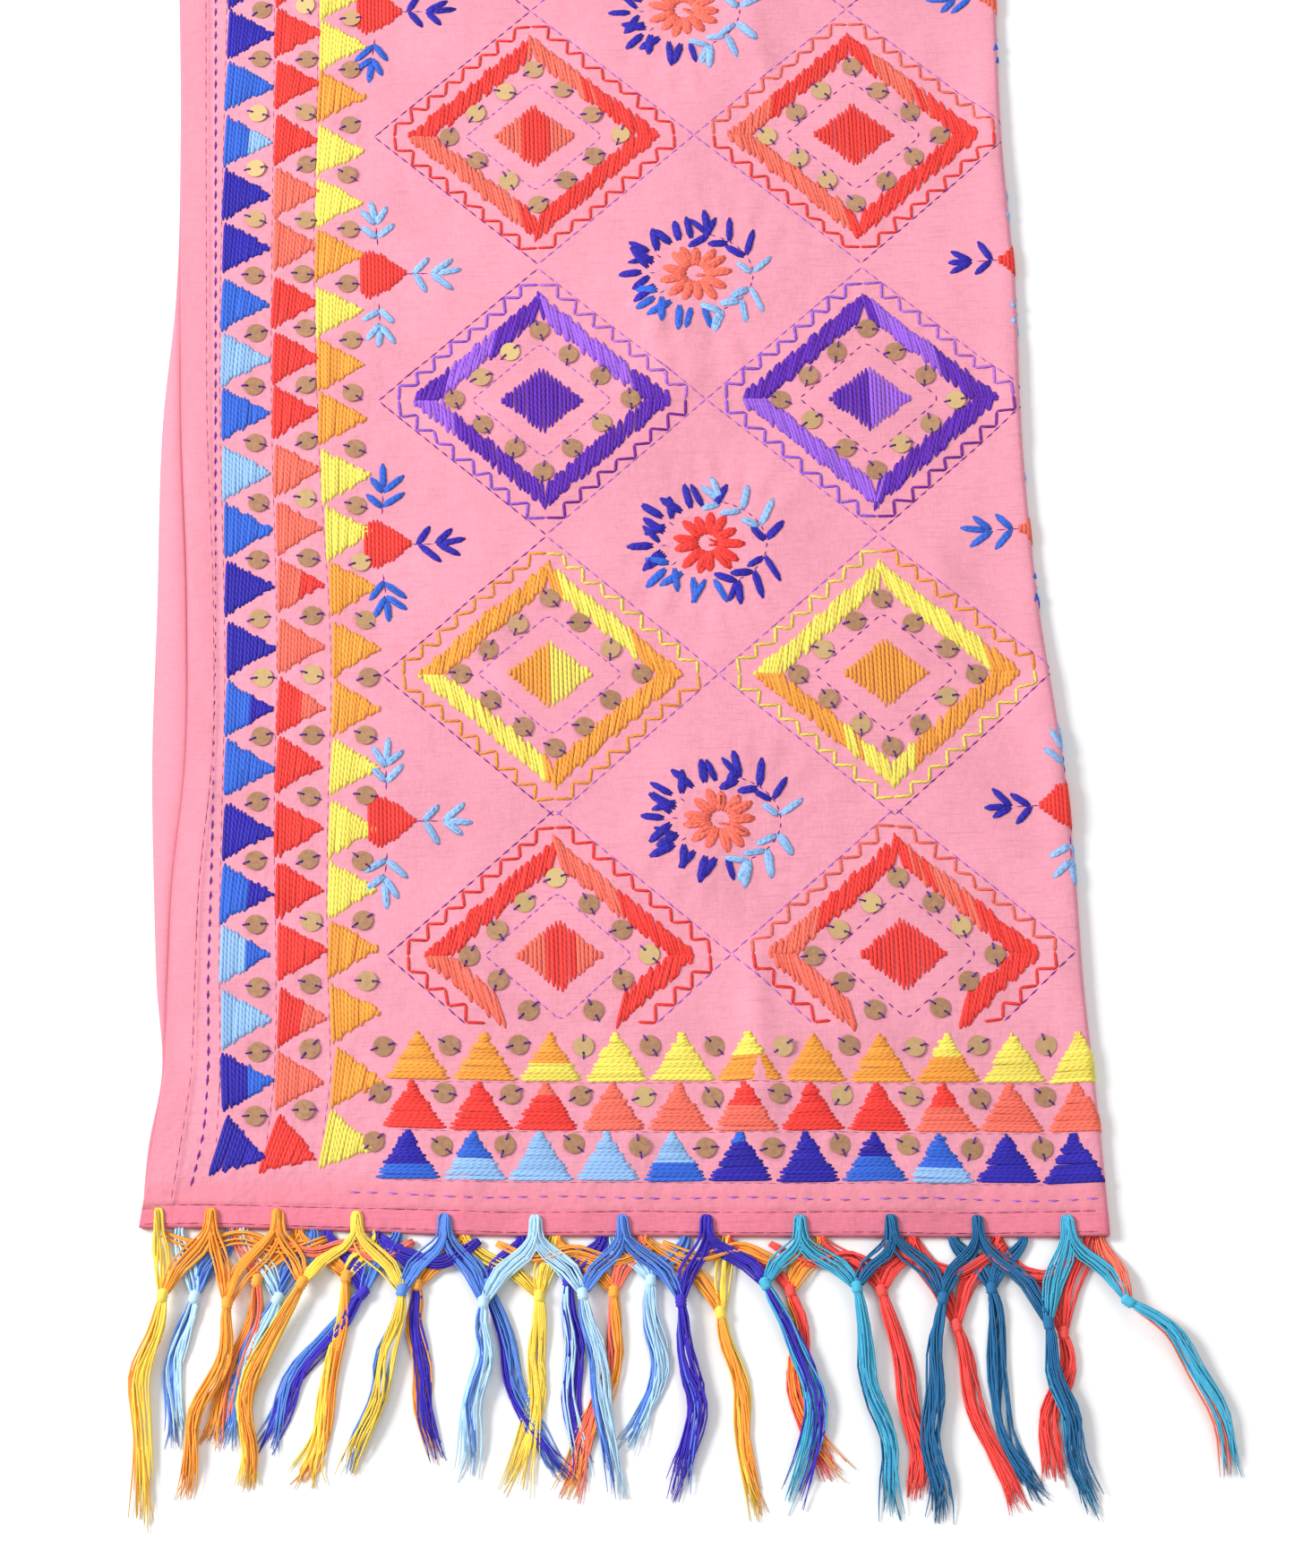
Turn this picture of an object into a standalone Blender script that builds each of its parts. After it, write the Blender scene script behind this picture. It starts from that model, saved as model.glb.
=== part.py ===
"""Folded embroidered shawl with a knotted fringe, laid flat on the floor.

The cloth is folded once along its length, so its section is one long U: a top layer, a round fold on the
+X side and an under layer that lies flat on z = 0. Both short ends have a separate end hem, and every end
hem carries a fringe of knotted tassels on each of its two layers.

Cloth coordinates: u runs across the folded width from the free hems towards the fold, v runs along the
length from the near end to the far end. Lengths are in metres and +Z is up.
"""

import bmesh
import bpy
import numpy as np

MM = 0.001

# Cloth
LENGTH = 2.270
CENTRE_U = 0.256           # the u that stands on x = 0
SKEW = 0.0311              # slope of the short ends, from cloth pulled slightly out of square
PIVOT_U = 0.287            # the u where that slope leaves v unchanged
WALL = 1.2 * MM
TOP_HEIGHT = 3.7 * MM      # outer face of the top layer, away from creases
FOLD_RADIUS = 3.0 * MM
FOLD_REACH = 13.0 * MM     # how far the fold's swelling runs into the top layer
SIDE_HEM_RISE = 0.4 * MM
SEAM_GAP = 0.3 * MM

# End hems
END_HEM = 12.5 * MM
END_HEM_WALL = 1.8 * MM
END_HEM_RISE = 0.3 * MM

# Grid of the cloth: columns counted from the free hem and from the fold, and rows along the length
HEM_COLUMNS = np.array([0.0, 15.0, 17.0]) * MM
FOLD_COLUMNS = np.array([30.0, 17.0, 8.0, 0.0]) * MM
MIDDLE_COLUMNS = 11
ARC_STEPS = 6
UNDER_STEPS = 3
CLOSE_ROWS_END = 0.70
CLOSE_ROW_STEP = 0.025
WIDE_ROW_STEP = 0.060

# Outline of the folded cloth in millimetres, a row for each section along its length:
# v, free edge of the top layer, free edge of the under layer, fold
OUTLINE = np.array([
    (0, -5.0, -4.0, 465.2),
    (40, 1.4, -1.0, 464.6),
    (78, 6.8, 5.5, 463.3),
    (124, 8.5, 2.7, 461.7),
    (171, 10.2, 1.1, 461.9),
    (240, 16.8, -0.2, 460.0),
    (322, 17.6, 1.8, 453.8),
    (437, 14.1, 4.8, 451.9),
    (497, 13.8, 10.5, 454.0),
    (600, 13.5, 13.0, 452.7),
    (680, 13.3, 12.2, 455.0),
    (860, 10.0, 6.0, 458.0),
    (1050, 6.0, 9.0, 456.0),
    (1250, 9.5, 14.0, 454.0),
    (1450, 13.0, 8.0, 457.0),
    (1650, 10.0, 3.0, 460.0),
    (1850, 6.0, 6.0, 457.5),
    (2050, 4.5, 3.0, 460.0),
    (2180, 1.0, -1.0, 463.0),
    (2270, -4.0, -4.0, 465.0),
]) * MM

# Largest soft creases of the top layer in millimetres: start u, start v, end u, end v, height, half width
CREASES = np.array([
    (298, 60, 298, 130, 2.0, 16),
    (306, 78, 362, 20, 1.6, 16),
    (458, 225, 456, 265, 1.8, 18),
    (163, 340, 178, 280, 1.6, 18),
    (266, 490, 272, 460, 1.6, 18),
    (60, 40, 25, 120, 1.4, 16),
    (400, 350, 440, 300, 1.3, 18),
    (90, 560, 150, 520, 1.3, 20),
    (330, 640, 300, 700, 1.5, 20),
    (120, 760, 180, 840, 1.8, 26),
    (380, 900, 430, 990, 1.7, 28),
    (60, 1040, 110, 1120, 1.6, 26),
    (250, 1180, 320, 1270, 1.9, 30),
    (420, 1330, 380, 1420, 1.6, 28),
    (130, 1470, 90, 1560, 1.7, 28),
    (300, 1620, 350, 1710, 1.8, 28),
    (170, 1800, 230, 1880, 1.7, 28),
    (400, 1960, 440, 2050, 1.6, 26),
    (90, 2080, 130, 2150, 1.5, 24),
    (310, 2240, 320, 2160, 1.7, 22),
]) * MM

# Fringe. Yarn holes of the top layer in millimetres of u, and how far the under layer's lie beside them
HOLES = np.array([4, 30, 62, 100, 143, 187, 229, 270, 315, 359, 401, 445]) * MM
UNDER_HOLE_SHIFT = 10.0 * MM
FOLD_ARM_U = 460.5 * MM    # second arm of the tassel at the fold, from the under layer
HOLE_SETBACK = 5.5 * MM    # holes lie this far inside the end hem's edge
ARM_SPACING = 1.6 * MM     # half the distance of two arms in one hole
ARM_CLEARANCE = 0.5 * MM

# Paths of the hanging yarn in millimetres: u and v of the knot, of two bends and of the tip
TOP_TASSELS = np.array([
    (7, -34, 0, -63, -4, -94, -2, -147),
    (38, -38, 34, -70, 22, -100, 17, -132),
    (74, -28, 51, -68, 48, -100, 46, -129),
    (122, -32, 116, -62, 105, -92, 94, -122),
    (161, -38, 160, -58, 156, -88, 150, -125),
    (209, -34, 212, -58, 218, -88, 222, -133),
    (256, -38, 258, -71, 261, -95, 249, -134),
    (297, -29, 309, -59, 320, -89, 302, -140),
    (341, -31, 344, -72, 351, -106, 351, -144),
    (382, -37, 374, -76, 374, -111, 375, -145),
    (432, -50, 435, -81, 440, -111, 448, -145),
    (471, -39, 495, -58, 509, -90, 514, -124),
]) * MM
UNDER_TASSELS = np.array([
    (22, -34, 18, -52, 12, -76, 14, -108),
    (52, -26, 48, -52, 38, -82, 29, -108),
    (95, -24, 91, -61, 80, -102, 72, -126),
    (129, -28, 129, -52, 131, -83, 137, -116),
    (188, -34, 187, -62, 184, -85, 172, -131),
    (224, -32, 223, -62, 211, -97, 199, -134),
    (275, -43, 279, -69, 284, -105, 288, -145),
    (309, -32, 313, -58, 312, -92, 328, -124),
    (353, -32, 362, -76, 366, -110, 362, -134),
    (388, -50, 394, -78, 402, -110, 414, -140),
    (439, -54, 439, -72, 430, -97, 430, -128),
]) * MM
FAR_SWAY = 0.9             # the far end's tassels lean a little less

# Knots and yarn sections
TOP_KNOT_HEIGHT = 6.9 * MM
UNDER_KNOT_HEIGHT = 2.4 * MM
KNOT_HALF_SIZES = np.array([4.0, 5.5, 2.0]) * MM
FLOOR_CLEARANCE = 0.25 * MM
ARM_RADII = np.array([1.1, 1.3, 1.3, 1.2]) * MM
LOCK_RADII = np.array([1.15, 1.5, 1.8, 1.8, 1.5, 0.9]) * MM
LOCK_SPREAD = np.array([2.4, 2.9, 3.7, 4.3, 4.9, 5.4]) * MM
UNDER_SPREAD = 0.62
TOP_LOCKS = (-1, 0, 1)
UNDER_LOCKS = (-1, 1)
TOP_LOCK_FALL = np.array([1.0, 0.88, 0.76, 0.66, 0.55, 0.0])
UNDER_LOCK_FALL = np.array([1.0, 0.55, 0.25, 0.08, 0.0, 0.0])

CLOTH_PINK = (0.98, 0.38, 0.50, 1.0)
HEM_PINK = (0.94, 0.26, 0.36, 1.0)
TOP_YARNS = (
    (0.99, 0.60, 0.10), (0.97, 0.42, 0.06), (0.97, 0.42, 0.06), (0.97, 0.42, 0.10),
    (0.52, 0.76, 0.94), (0.30, 0.50, 0.90), (0.06, 0.03, 0.52), (0.09, 0.48, 0.70),
    (0.03, 0.36, 0.60), (0.02, 0.16, 0.36), (0.02, 0.22, 0.44), (0.96, 0.20, 0.14),
)
UNDER_YARNS = (
    (0.52, 0.76, 0.94), (0.97, 0.25, 0.06), (0.97, 0.42, 0.06), (0.10, 0.04, 0.40),
    (0.99, 0.75, 0.11), (0.97, 0.35, 0.06), (0.99, 0.60, 0.10), (0.96, 0.09, 0.08),
    (0.96, 0.09, 0.08), (0.96, 0.09, 0.08), (0.96, 0.12, 0.08),
)


def clear_scene():
    for old in list(bpy.data.objects):
        bpy.data.objects.remove(old, do_unlink=True)


def make_material(name, colour, roughness):
    material = bpy.data.materials.new(name)
    material.use_nodes = True
    shader = material.node_tree.nodes["Principled BSDF"]
    shader.inputs["Base Color"].default_value = colour
    shader.inputs["Roughness"].default_value = roughness
    shader.inputs["Metallic"].default_value = 0.0
    return material


def smooth_curve(x, knots, values):
    """Cubic Hermite curve through the values, with each slope taken from the neighbouring knots."""
    slopes = np.gradient(values, knots)
    i = np.clip(np.searchsorted(knots, x) - 1, 0, len(knots) - 2)
    span = knots[i + 1] - knots[i]
    t = (x - knots[i]) / span
    return ((1 + 2 * t) * (1 - t) ** 2 * values[i] + t * (1 - t) ** 2 * span * slopes[i]
            + t * t * (3 - 2 * t) * values[i + 1] + t * t * (t - 1) * span * slopes[i + 1])


def outline(v):
    """Free edge of the top layer, free edge of the under layer and fold, at each v."""
    return [smooth_curve(v, OUTLINE[:, 0], OUTLINE[:, column]) for column in (1, 2, 3)]


def world(u, v, z):
    """Cloth coordinates to x, y and z."""
    x = u - CENTRE_U
    y = v - LENGTH / 2 - SKEW * (u - PIVOT_U)
    return np.stack(np.broadcast_arrays(x, y, z), axis=-1)


def crease_height(u, v):
    """Sum of soft ridges, each a bell over the distance to a straight line from its start to its end."""
    height = np.zeros(np.broadcast(u, v).shape)
    for u0, v0, u1, v1, top, half_width in CREASES:
        du, dv = u1 - u0, v1 - v0
        along = np.clip(((u - u0) * du + (v - v0) * dv) / (du * du + dv * dv), 0, 1)
        distance = np.hypot(u - u0 - along * du, v - v0 - along * dv)
        height += top * np.exp(-(distance / half_width) ** 2)
    return height


def top_face(u, v):
    """Height of the top layer's outer face, which swells towards the fold."""
    fold_start = outline(v)[2] - FOLD_RADIUS
    swell = (2 * FOLD_RADIUS - TOP_HEIGHT) * np.exp(-((fold_start - u) / FOLD_REACH) ** 2)
    return TOP_HEIGHT + swell + crease_height(u, v)


def section(v):
    """u and z of the cloth's outer face for a column of v: top layer, round fold, flat under layer."""
    top_edge, under_edge, fold = outline(v)
    fold_start = fold - FOLD_RADIUS
    first = top_edge + HEM_COLUMNS
    last = fold_start - FOLD_COLUMNS
    step = np.linspace(0, 1, MIDDLE_COLUMNS + 2)[1:-1]
    middle = first[:, -1:] + (last[:, :1] - first[:, -1:]) * step
    top_u = np.hstack([first, middle, last])
    top_z = top_face(top_u, v)
    top_z[:, :2] += SIDE_HEM_RISE

    turn = np.linspace(np.pi / 2, -np.pi / 2, ARC_STEPS + 1)[1:]
    arc_u = fold_start + FOLD_RADIUS * np.cos(turn)
    lift = (top_z[:, -1:] - 2 * FOLD_RADIUS) * (1 + np.sin(turn)) / 2
    arc_z = FOLD_RADIUS * (1 + np.sin(turn)) + lift

    under = np.linspace(0, 1, UNDER_STEPS + 1)[1:]
    under_u = fold_start + (under_edge - fold_start) * under
    return np.hstack([top_u, arc_u, under_u]), np.hstack([top_z, arc_z, np.zeros_like(under_u)])


def folded_sheet(name, rows, wall, rise, material, collection):
    """A U-shaped cloth wall over the given rows of v, from a grid on its outer face and Solidify."""
    v = np.asarray(rows)[:, None]
    u, z = section(v)
    z = z + rise * (z > FOLD_RADIUS)
    points = world(u, v, z)
    row_count, column_count = u.shape

    grid = bmesh.new()
    bmesh.ops.create_grid(grid, x_segments=column_count - 1, y_segments=row_count - 1, size=0.5)
    for vertex in grid.verts:
        column = round((vertex.co.x + 0.5) * (column_count - 1))
        row = round((vertex.co.y + 0.5) * (row_count - 1))
        vertex.co = points[row, column]
    mesh = bpy.data.meshes.new(name)
    grid.to_mesh(mesh)
    grid.free()
    mesh.materials.append(material)
    mesh.shade_smooth()
    sheet = bpy.data.objects.new(name, mesh)
    collection.objects.link(sheet)

    solidify = sheet.modifiers.new("Cloth wall", "SOLIDIFY")
    solidify.thickness = wall
    solidify.offset = -1.0
    solidify.use_even_offset = True
    return sheet


def panel_rows():
    """Rows of v between the two end hems, close together near the near end."""
    start = END_HEM + SEAM_GAP
    end = LENGTH - END_HEM - SEAM_GAP
    close = np.arange(start, CLOSE_ROWS_END, CLOSE_ROW_STEP)
    wide_count = round((end - CLOSE_ROWS_END) / WIDE_ROW_STEP) + 1
    return np.concatenate([close, np.linspace(CLOSE_ROWS_END, end, wide_count)])


def yarn_profile(collection):
    """Triangle with a flat foot that every yarn is swept with; a guide, not a piece."""
    curve = bpy.data.curves.new("yarn_profile", "CURVE")
    curve.dimensions = "2D"
    spline = curve.splines.new("POLY")
    spline.points.add(2)
    spline.use_cyclic_u = True
    for point, turn in zip(spline.points, np.radians([90, 210, 330])):
        point.co = (np.cos(turn), np.sin(turn), 0.0, 1.0)
    profile = bpy.data.objects.new("yarn_profile", curve)
    profile.hide_render = True
    profile.display_type = "WIRE"
    collection.objects.link(profile)
    return profile


def resample(path, count):
    """Cubic curve through a short path, read at evenly spaced parameters."""
    knots = np.linspace(0, 1, len(path))
    t = np.linspace(0, 1, count)
    return np.stack([smooth_curve(t, knots, path[:, axis]) for axis in range(path.shape[1])], axis=-1)


def lock_strands(path, knot_height, fall, sides, spread):
    """Hanging locks beside one path, each a row of u, v, z and radius from the knot to the tip."""
    centre = resample(path.reshape(4, 2), len(LOCK_RADII))
    direction = np.gradient(centre, axis=0)
    normal = np.stack([direction[:, 1], -direction[:, 0]], axis=-1)
    normal /= np.linalg.norm(normal, axis=1, keepdims=True)
    resting = FLOOR_CLEARANCE + LOCK_RADII / 2
    z = resting + (knot_height - resting) * fall
    return [np.column_stack([centre + side * spread * LOCK_SPREAD[:, None] * normal, z, LOCK_RADII])
            for side in sides]


def arm_strand(start_u, start_v, start_z, knot_u, knot_v, knot_height, over_edge):
    """One yarn arm from its hole to the knot. On the top layer it first passes over the hem's edge."""
    edge_v = -2.0 * MM if over_edge else start_v - 4.0 * MM
    edge_u = start_u + 0.04 * (knot_u - start_u)
    near_u = start_u + 0.62 * (knot_u - start_u)
    near_v = edge_v + 0.55 * (knot_v - edge_v)
    edge_z = start_z if over_edge else start_z + 0.2 * (knot_height - start_z)
    near_z = edge_z + 0.6 * (knot_height - edge_z)
    return np.column_stack([
        [start_u, edge_u, near_u, knot_u],
        [start_v, edge_v, near_v, knot_v],
        [start_z, edge_z, near_z, knot_height],
        ARM_RADII,
    ])


def swept_mesh(name, strands, far, profile, collection):
    """One mesh of all strands, swept as curves with the yarn profile and capped at their ends."""
    curve = bpy.data.curves.new(name, "CURVE")
    curve.dimensions = "3D"
    curve.twist_mode = "Z_UP"
    curve.bevel_mode = "OBJECT"
    curve.bevel_object = profile
    curve.use_fill_caps = True
    for strand in strands:
        u, v, z, radius = strand.T
        v = LENGTH - v if far else v
        spline = curve.splines.new("POLY")
        spline.points.add(len(strand) - 1)
        for point, place, size in zip(spline.points, world(u, v, z), radius):
            point.co = (*place, 1.0)
            point.radius = size
    swept = bpy.data.objects.new(name, curve)
    collection.objects.link(swept)
    evaluated = swept.evaluated_get(bpy.context.evaluated_depsgraph_get())
    mesh = bpy.data.meshes.new_from_object(evaluated)
    bpy.data.objects.remove(swept, do_unlink=True)
    weld = bmesh.new()
    weld.from_mesh(mesh)
    bmesh.ops.remove_doubles(weld, verts=weld.verts, dist=0.00001)
    bmesh.ops.recalc_face_normals(weld, faces=weld.faces)
    weld.to_mesh(mesh)
    weld.free()
    return mesh


def knot_mesh(name, centre):
    """Low, long ball of the wrapped knot."""
    ball = bmesh.new()
    bmesh.ops.create_uvsphere(ball, u_segments=6, v_segments=4, radius=1.0)
    for vertex in ball.verts:
        vertex.co = np.array(vertex.co) * KNOT_HALF_SIZES + centre
    mesh = bpy.data.meshes.new(name)
    ball.to_mesh(mesh)
    ball.free()
    return mesh


def tassel(name, strands, knot, far, material, profile, collections):
    """Knot with its arms and locks, joined into one solid by a Boolean union."""
    collection, guides = collections
    u, v, z = knot
    knot_place = world(u, LENGTH - v if far else v, z)
    head = bpy.data.objects.new(name, knot_mesh(name, knot_place))
    collection.objects.link(head)
    yarn = bpy.data.objects.new(name + "_yarn", swept_mesh(name + "_yarn", strands, far, profile, guides))
    guides.objects.link(yarn)

    union = head.modifiers.new("Fuse the yarn", "BOOLEAN")
    union.operation = "UNION"
    union.object = yarn
    union.solver = "EXACT"
    union.use_self = True
    evaluated = head.evaluated_get(bpy.context.evaluated_depsgraph_get())
    fused = bpy.data.meshes.new_from_object(evaluated)
    head.modifiers.clear()
    head.data = fused
    fused.materials.clear()
    fused.materials.append(material)
    bpy.data.objects.remove(yarn, do_unlink=True)
    return head


def swayed(path, far, last):
    """The path of a tassel; at the far end all but the one at the fold lean less."""
    path = path.copy()
    if far and not last:
        path[0::2] = path[0] + FAR_SWAY * (path[0::2] - path[0])
    return path


def top_tassel(index, far):
    """Strands and knot of one tassel of the top layer."""
    path = swayed(TOP_TASSELS[index], far, index == len(TOP_TASSELS) - 1)
    knot_u, knot_v = path[:2]
    strands = lock_strands(path, TOP_KNOT_HEIGHT, TOP_LOCK_FALL, TOP_LOCKS, 1.0)
    starts = [HOLES[index] + ARM_SPACING]
    if index + 1 < len(HOLES):
        starts.append(HOLES[index + 1] - ARM_SPACING)
    for start_u in starts:
        hole_v = np.array(LENGTH - HOLE_SETBACK if far else HOLE_SETBACK)
        start_z = top_face(start_u, hole_v) + END_HEM_RISE + ARM_CLEARANCE + ARM_RADII.max() / 2
        strands.append(arm_strand(start_u, HOLE_SETBACK, start_z, knot_u, knot_v, TOP_KNOT_HEIGHT, True))
    if index + 1 == len(HOLES):
        start_z = FLOOR_CLEARANCE + ARM_RADII[0]
        strands.append(arm_strand(FOLD_ARM_U, -ARM_CLEARANCE, start_z, knot_u, knot_v, TOP_KNOT_HEIGHT, False))
    return strands, (knot_u, knot_v, TOP_KNOT_HEIGHT)


def under_tassel(index, far):
    """Strands and knot of one tassel of the under layer, whose arms start at the hem's edge."""
    path = swayed(UNDER_TASSELS[index], far, False)
    knot_u, knot_v = path[:2]
    strands = lock_strands(path, UNDER_KNOT_HEIGHT, UNDER_LOCK_FALL, UNDER_LOCKS, UNDER_SPREAD)
    start_z = FLOOR_CLEARANCE + ARM_RADII[0]
    for hole, side in ((HOLES[index], 1), (HOLES[index + 1], -1)):
        start_u = hole + UNDER_HOLE_SHIFT + side * ARM_SPACING
        strands.append(arm_strand(start_u, -ARM_CLEARANCE, start_z, knot_u, knot_v, UNDER_KNOT_HEIGHT, False))
    return strands, (knot_u, knot_v, UNDER_KNOT_HEIGHT)


def build_fringe(collections):
    profile = yarn_profile(collections[1])
    for end, far in (("near", False), ("far", True)):
        for layer, yarns, make in (("top", TOP_YARNS, top_tassel), ("under", UNDER_YARNS, under_tassel)):
            for index, colour in enumerate(yarns):
                name = f"tassel_{end}_{layer}_{index:02d}"
                strands, knot = make(index, far)
                material = make_material(name, (*colour, 1.0), 0.85)
                tassel(name, strands, knot, far, material, profile, collections)


def main():
    clear_scene()
    shawl = bpy.data.collections.new("Phulkari shawl")
    guides = bpy.data.collections.new("Guides")
    for collection in (shawl, guides):
        bpy.context.scene.collection.children.link(collection)

    cloth = make_material("shawl_panel", CLOTH_PINK, 0.9)
    folded_sheet("shawl_panel", panel_rows(), WALL, 0.0, cloth, shawl)
    for name, start in (("end_band_near", 0.0), ("end_band_far", LENGTH - END_HEM)):
        hem = make_material(name, HEM_PINK, 0.9)
        folded_sheet(name, (start, start + END_HEM), END_HEM_WALL, END_HEM_RISE, hem, shawl)
    build_fringe((shawl, guides))


main()
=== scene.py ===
"""Folded phulkari shawl with satin embroidery, brass sequins and a knotted fringe, laid flat on a floor.

Cloth coordinates: u runs across the folded width from the free hems towards the fold and on round it, v runs
along the length from the near end to the far end. Lengths are in metres and +Z is up.
"""

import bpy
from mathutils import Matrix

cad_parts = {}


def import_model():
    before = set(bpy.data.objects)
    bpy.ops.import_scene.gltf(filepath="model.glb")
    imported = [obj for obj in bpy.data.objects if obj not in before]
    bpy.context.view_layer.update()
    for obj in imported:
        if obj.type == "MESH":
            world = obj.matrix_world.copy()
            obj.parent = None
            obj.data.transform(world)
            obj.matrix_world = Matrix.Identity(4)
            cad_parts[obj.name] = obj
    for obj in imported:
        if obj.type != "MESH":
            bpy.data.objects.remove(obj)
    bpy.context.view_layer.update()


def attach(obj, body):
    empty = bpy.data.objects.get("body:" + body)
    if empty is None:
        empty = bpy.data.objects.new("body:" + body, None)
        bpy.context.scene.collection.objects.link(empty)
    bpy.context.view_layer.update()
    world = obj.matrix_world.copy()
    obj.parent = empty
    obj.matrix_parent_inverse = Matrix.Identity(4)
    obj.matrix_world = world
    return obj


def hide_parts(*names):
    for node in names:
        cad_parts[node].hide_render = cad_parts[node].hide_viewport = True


bl_info = {
    "name": "Folded Phulkari Shawl",
    "version": (1, 0, 0),
    "blender": (4, 5, 0),
    "location": "3D View > Sidebar > Shawl",
    "description": "Builds a folded embroidered shawl with sequins and a knotted fringe",
    "category": "Add Mesh",
}

import bmesh
import bpy
import numpy as np
from bpy.props import FloatProperty, FloatVectorProperty, IntProperty, PointerProperty
from mathutils import Matrix

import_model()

MM = 0.001
BODY = "root"

# Cloth, as in the CAD
LENGTH = 2.270
CENTRE_U = 0.256
SKEW = 0.0311
PIVOT_U = 0.287
WALL = 1.2 * MM
TOP_HEIGHT = 3.7 * MM
FOLD_RADIUS = 3.0 * MM
FOLD_REACH = 13.0 * MM
SIDE_HEM = 15.0 * MM
SIDE_HEM_RISE = 0.4 * MM
END_HEM = 12.5 * MM
END_HEM_WALL = 1.8 * MM
END_HEM_RISE = 0.3 * MM

# Outline of the folded cloth in millimetres: v, free edge of the top layer, that of the under layer, fold
OUTLINE = np.array([
    (0, -5.0, -4.0, 465.2), (40, 1.4, -1.0, 464.6), (78, 6.8, 5.5, 463.3), (124, 8.5, 2.7, 461.7),
    (171, 10.2, 1.1, 461.9), (240, 16.8, -0.2, 460.0), (322, 17.6, 1.8, 453.8), (437, 14.1, 4.8, 451.9),
    (497, 13.8, 10.5, 454.0), (600, 13.5, 13.0, 452.7), (680, 13.3, 12.2, 455.0), (860, 10.0, 6.0, 458.0),
    (1050, 6.0, 9.0, 456.0), (1250, 9.5, 14.0, 454.0), (1450, 13.0, 8.0, 457.0), (1650, 10.0, 3.0, 460.0),
    (1850, 6.0, 6.0, 457.5), (2050, 4.5, 3.0, 460.0), (2180, 1.0, -1.0, 463.0), (2270, -4.0, -4.0, 465.0),
]) * MM

# Soft creases of the top layer in millimetres, as in the CAD: start u and v, end u and v, height, half width
CREASES = np.array([
    (298, 60, 298, 130, 2.0, 16), (306, 78, 362, 20, 1.6, 16), (458, 225, 456, 265, 1.8, 18),
    (163, 340, 178, 280, 1.6, 18), (266, 490, 272, 460, 1.6, 18), (60, 40, 25, 120, 1.4, 16),
    (400, 350, 440, 300, 1.3, 18), (90, 560, 150, 520, 1.3, 20), (330, 640, 300, 700, 1.5, 20),
    (120, 760, 180, 840, 1.8, 26), (380, 900, 430, 990, 1.7, 28), (60, 1040, 110, 1120, 1.6, 26),
    (250, 1180, 320, 1270, 1.9, 30), (420, 1330, 380, 1420, 1.6, 28), (130, 1470, 90, 1560, 1.7, 28),
    (300, 1620, 350, 1710, 1.8, 28), (170, 1800, 230, 1880, 1.7, 28), (400, 1960, 440, 2050, 1.6, 26),
    (90, 2080, 130, 2150, 1.5, 24), (310, 2240, 320, 2160, 1.7, 22),
]) * MM

# Narrow wrinkles that only the cloth's own mesh is fine enough to show, in the same form
WRINKLES = np.array([
    (297, 66, 301, 138, 1.62, 5), (318, 70, 356, 26, 1.08, 6), (372, 30, 380, 14, 0.94, 6),
    (240, 16, 236, 60, 0.94, 6), (150, 12, 156, 40, 0.94, 6), (455, 200, 452, 250, 1.49, 6),
    (440, 262, 458, 292, 1.08, 6), (168, 322, 182, 286, 1.22, 6), (262, 486, 270, 448, 1.08, 5),
    (284, 488, 282, 452, 1.08, 5), (300, 486, 306, 456, 0.94, 5), (262, 330, 270, 306, 0.94, 5),
    (40, 52, 22, 96, 1.22, 6), (22, 150, 30, 230, 1.08, 7), (24, 300, 22, 420, 0.94, 6),
    (404, 344, 430, 318, 1.08, 6), (330, 622, 322, 668, 1.08, 6), (448, 560, 444, 620, 1.22, 7),
    (118, 470, 140, 452, 0.94, 6), (450, 420, 446, 470, 1.22, 7), (430, 90, 448, 130, 0.94, 7),
    (200, 1010, 240, 1060, 1.49, 9), (410, 1180, 440, 1260, 1.49, 9), (60, 1370, 90, 1430, 1.49, 9),
    (330, 1490, 360, 1560, 1.49, 9), (180, 1940, 220, 2000, 1.49, 9), (440, 1740, 430, 1820, 1.49, 9),
]) * MM

# Slow ripple of the laid cloth: waves along u and v in a span of 1.7 m, phase, and height in millimetres
RIPPLE_SPAN = 1.7
RIPPLES = (
    (11, 4, 0.3, 0.16), (-7, 9, 1.9, 0.15), (23, -6, 2.7, 0.09), (5, 21, 0.8, 0.10), (31, 17, 4.1, 0.05),
)

# Small waves that the sewing draws up in a ring round each flower
PUCKER_HEIGHT = 0.5 * MM
PUCKER_RAYS = 20
PUCKER_RADIUS = 0.047
PUCKER_REACH = 0.010

# The near end is not cut quite square: how far it reaches out at each u, and the share of that at each v in
# millimetres
END_DROP = np.array([(-60, 0), (40, 0), (95, 1.6), (140, 3.6), (270, 5.2), (460, 6.6), (540, 6.9)]) * MM
DROP_SHARE = np.array([
    (-150, 0), (-60, 0), (-45, 0), (-22, 0.3), (0, 1), (14, 0.8), (25, 0.66), (50, 0.56), (75, 0.44),
    (105, 0.2), (135, 0.03), (150, 0), (165, 0), (2500, 0),
])

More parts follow.
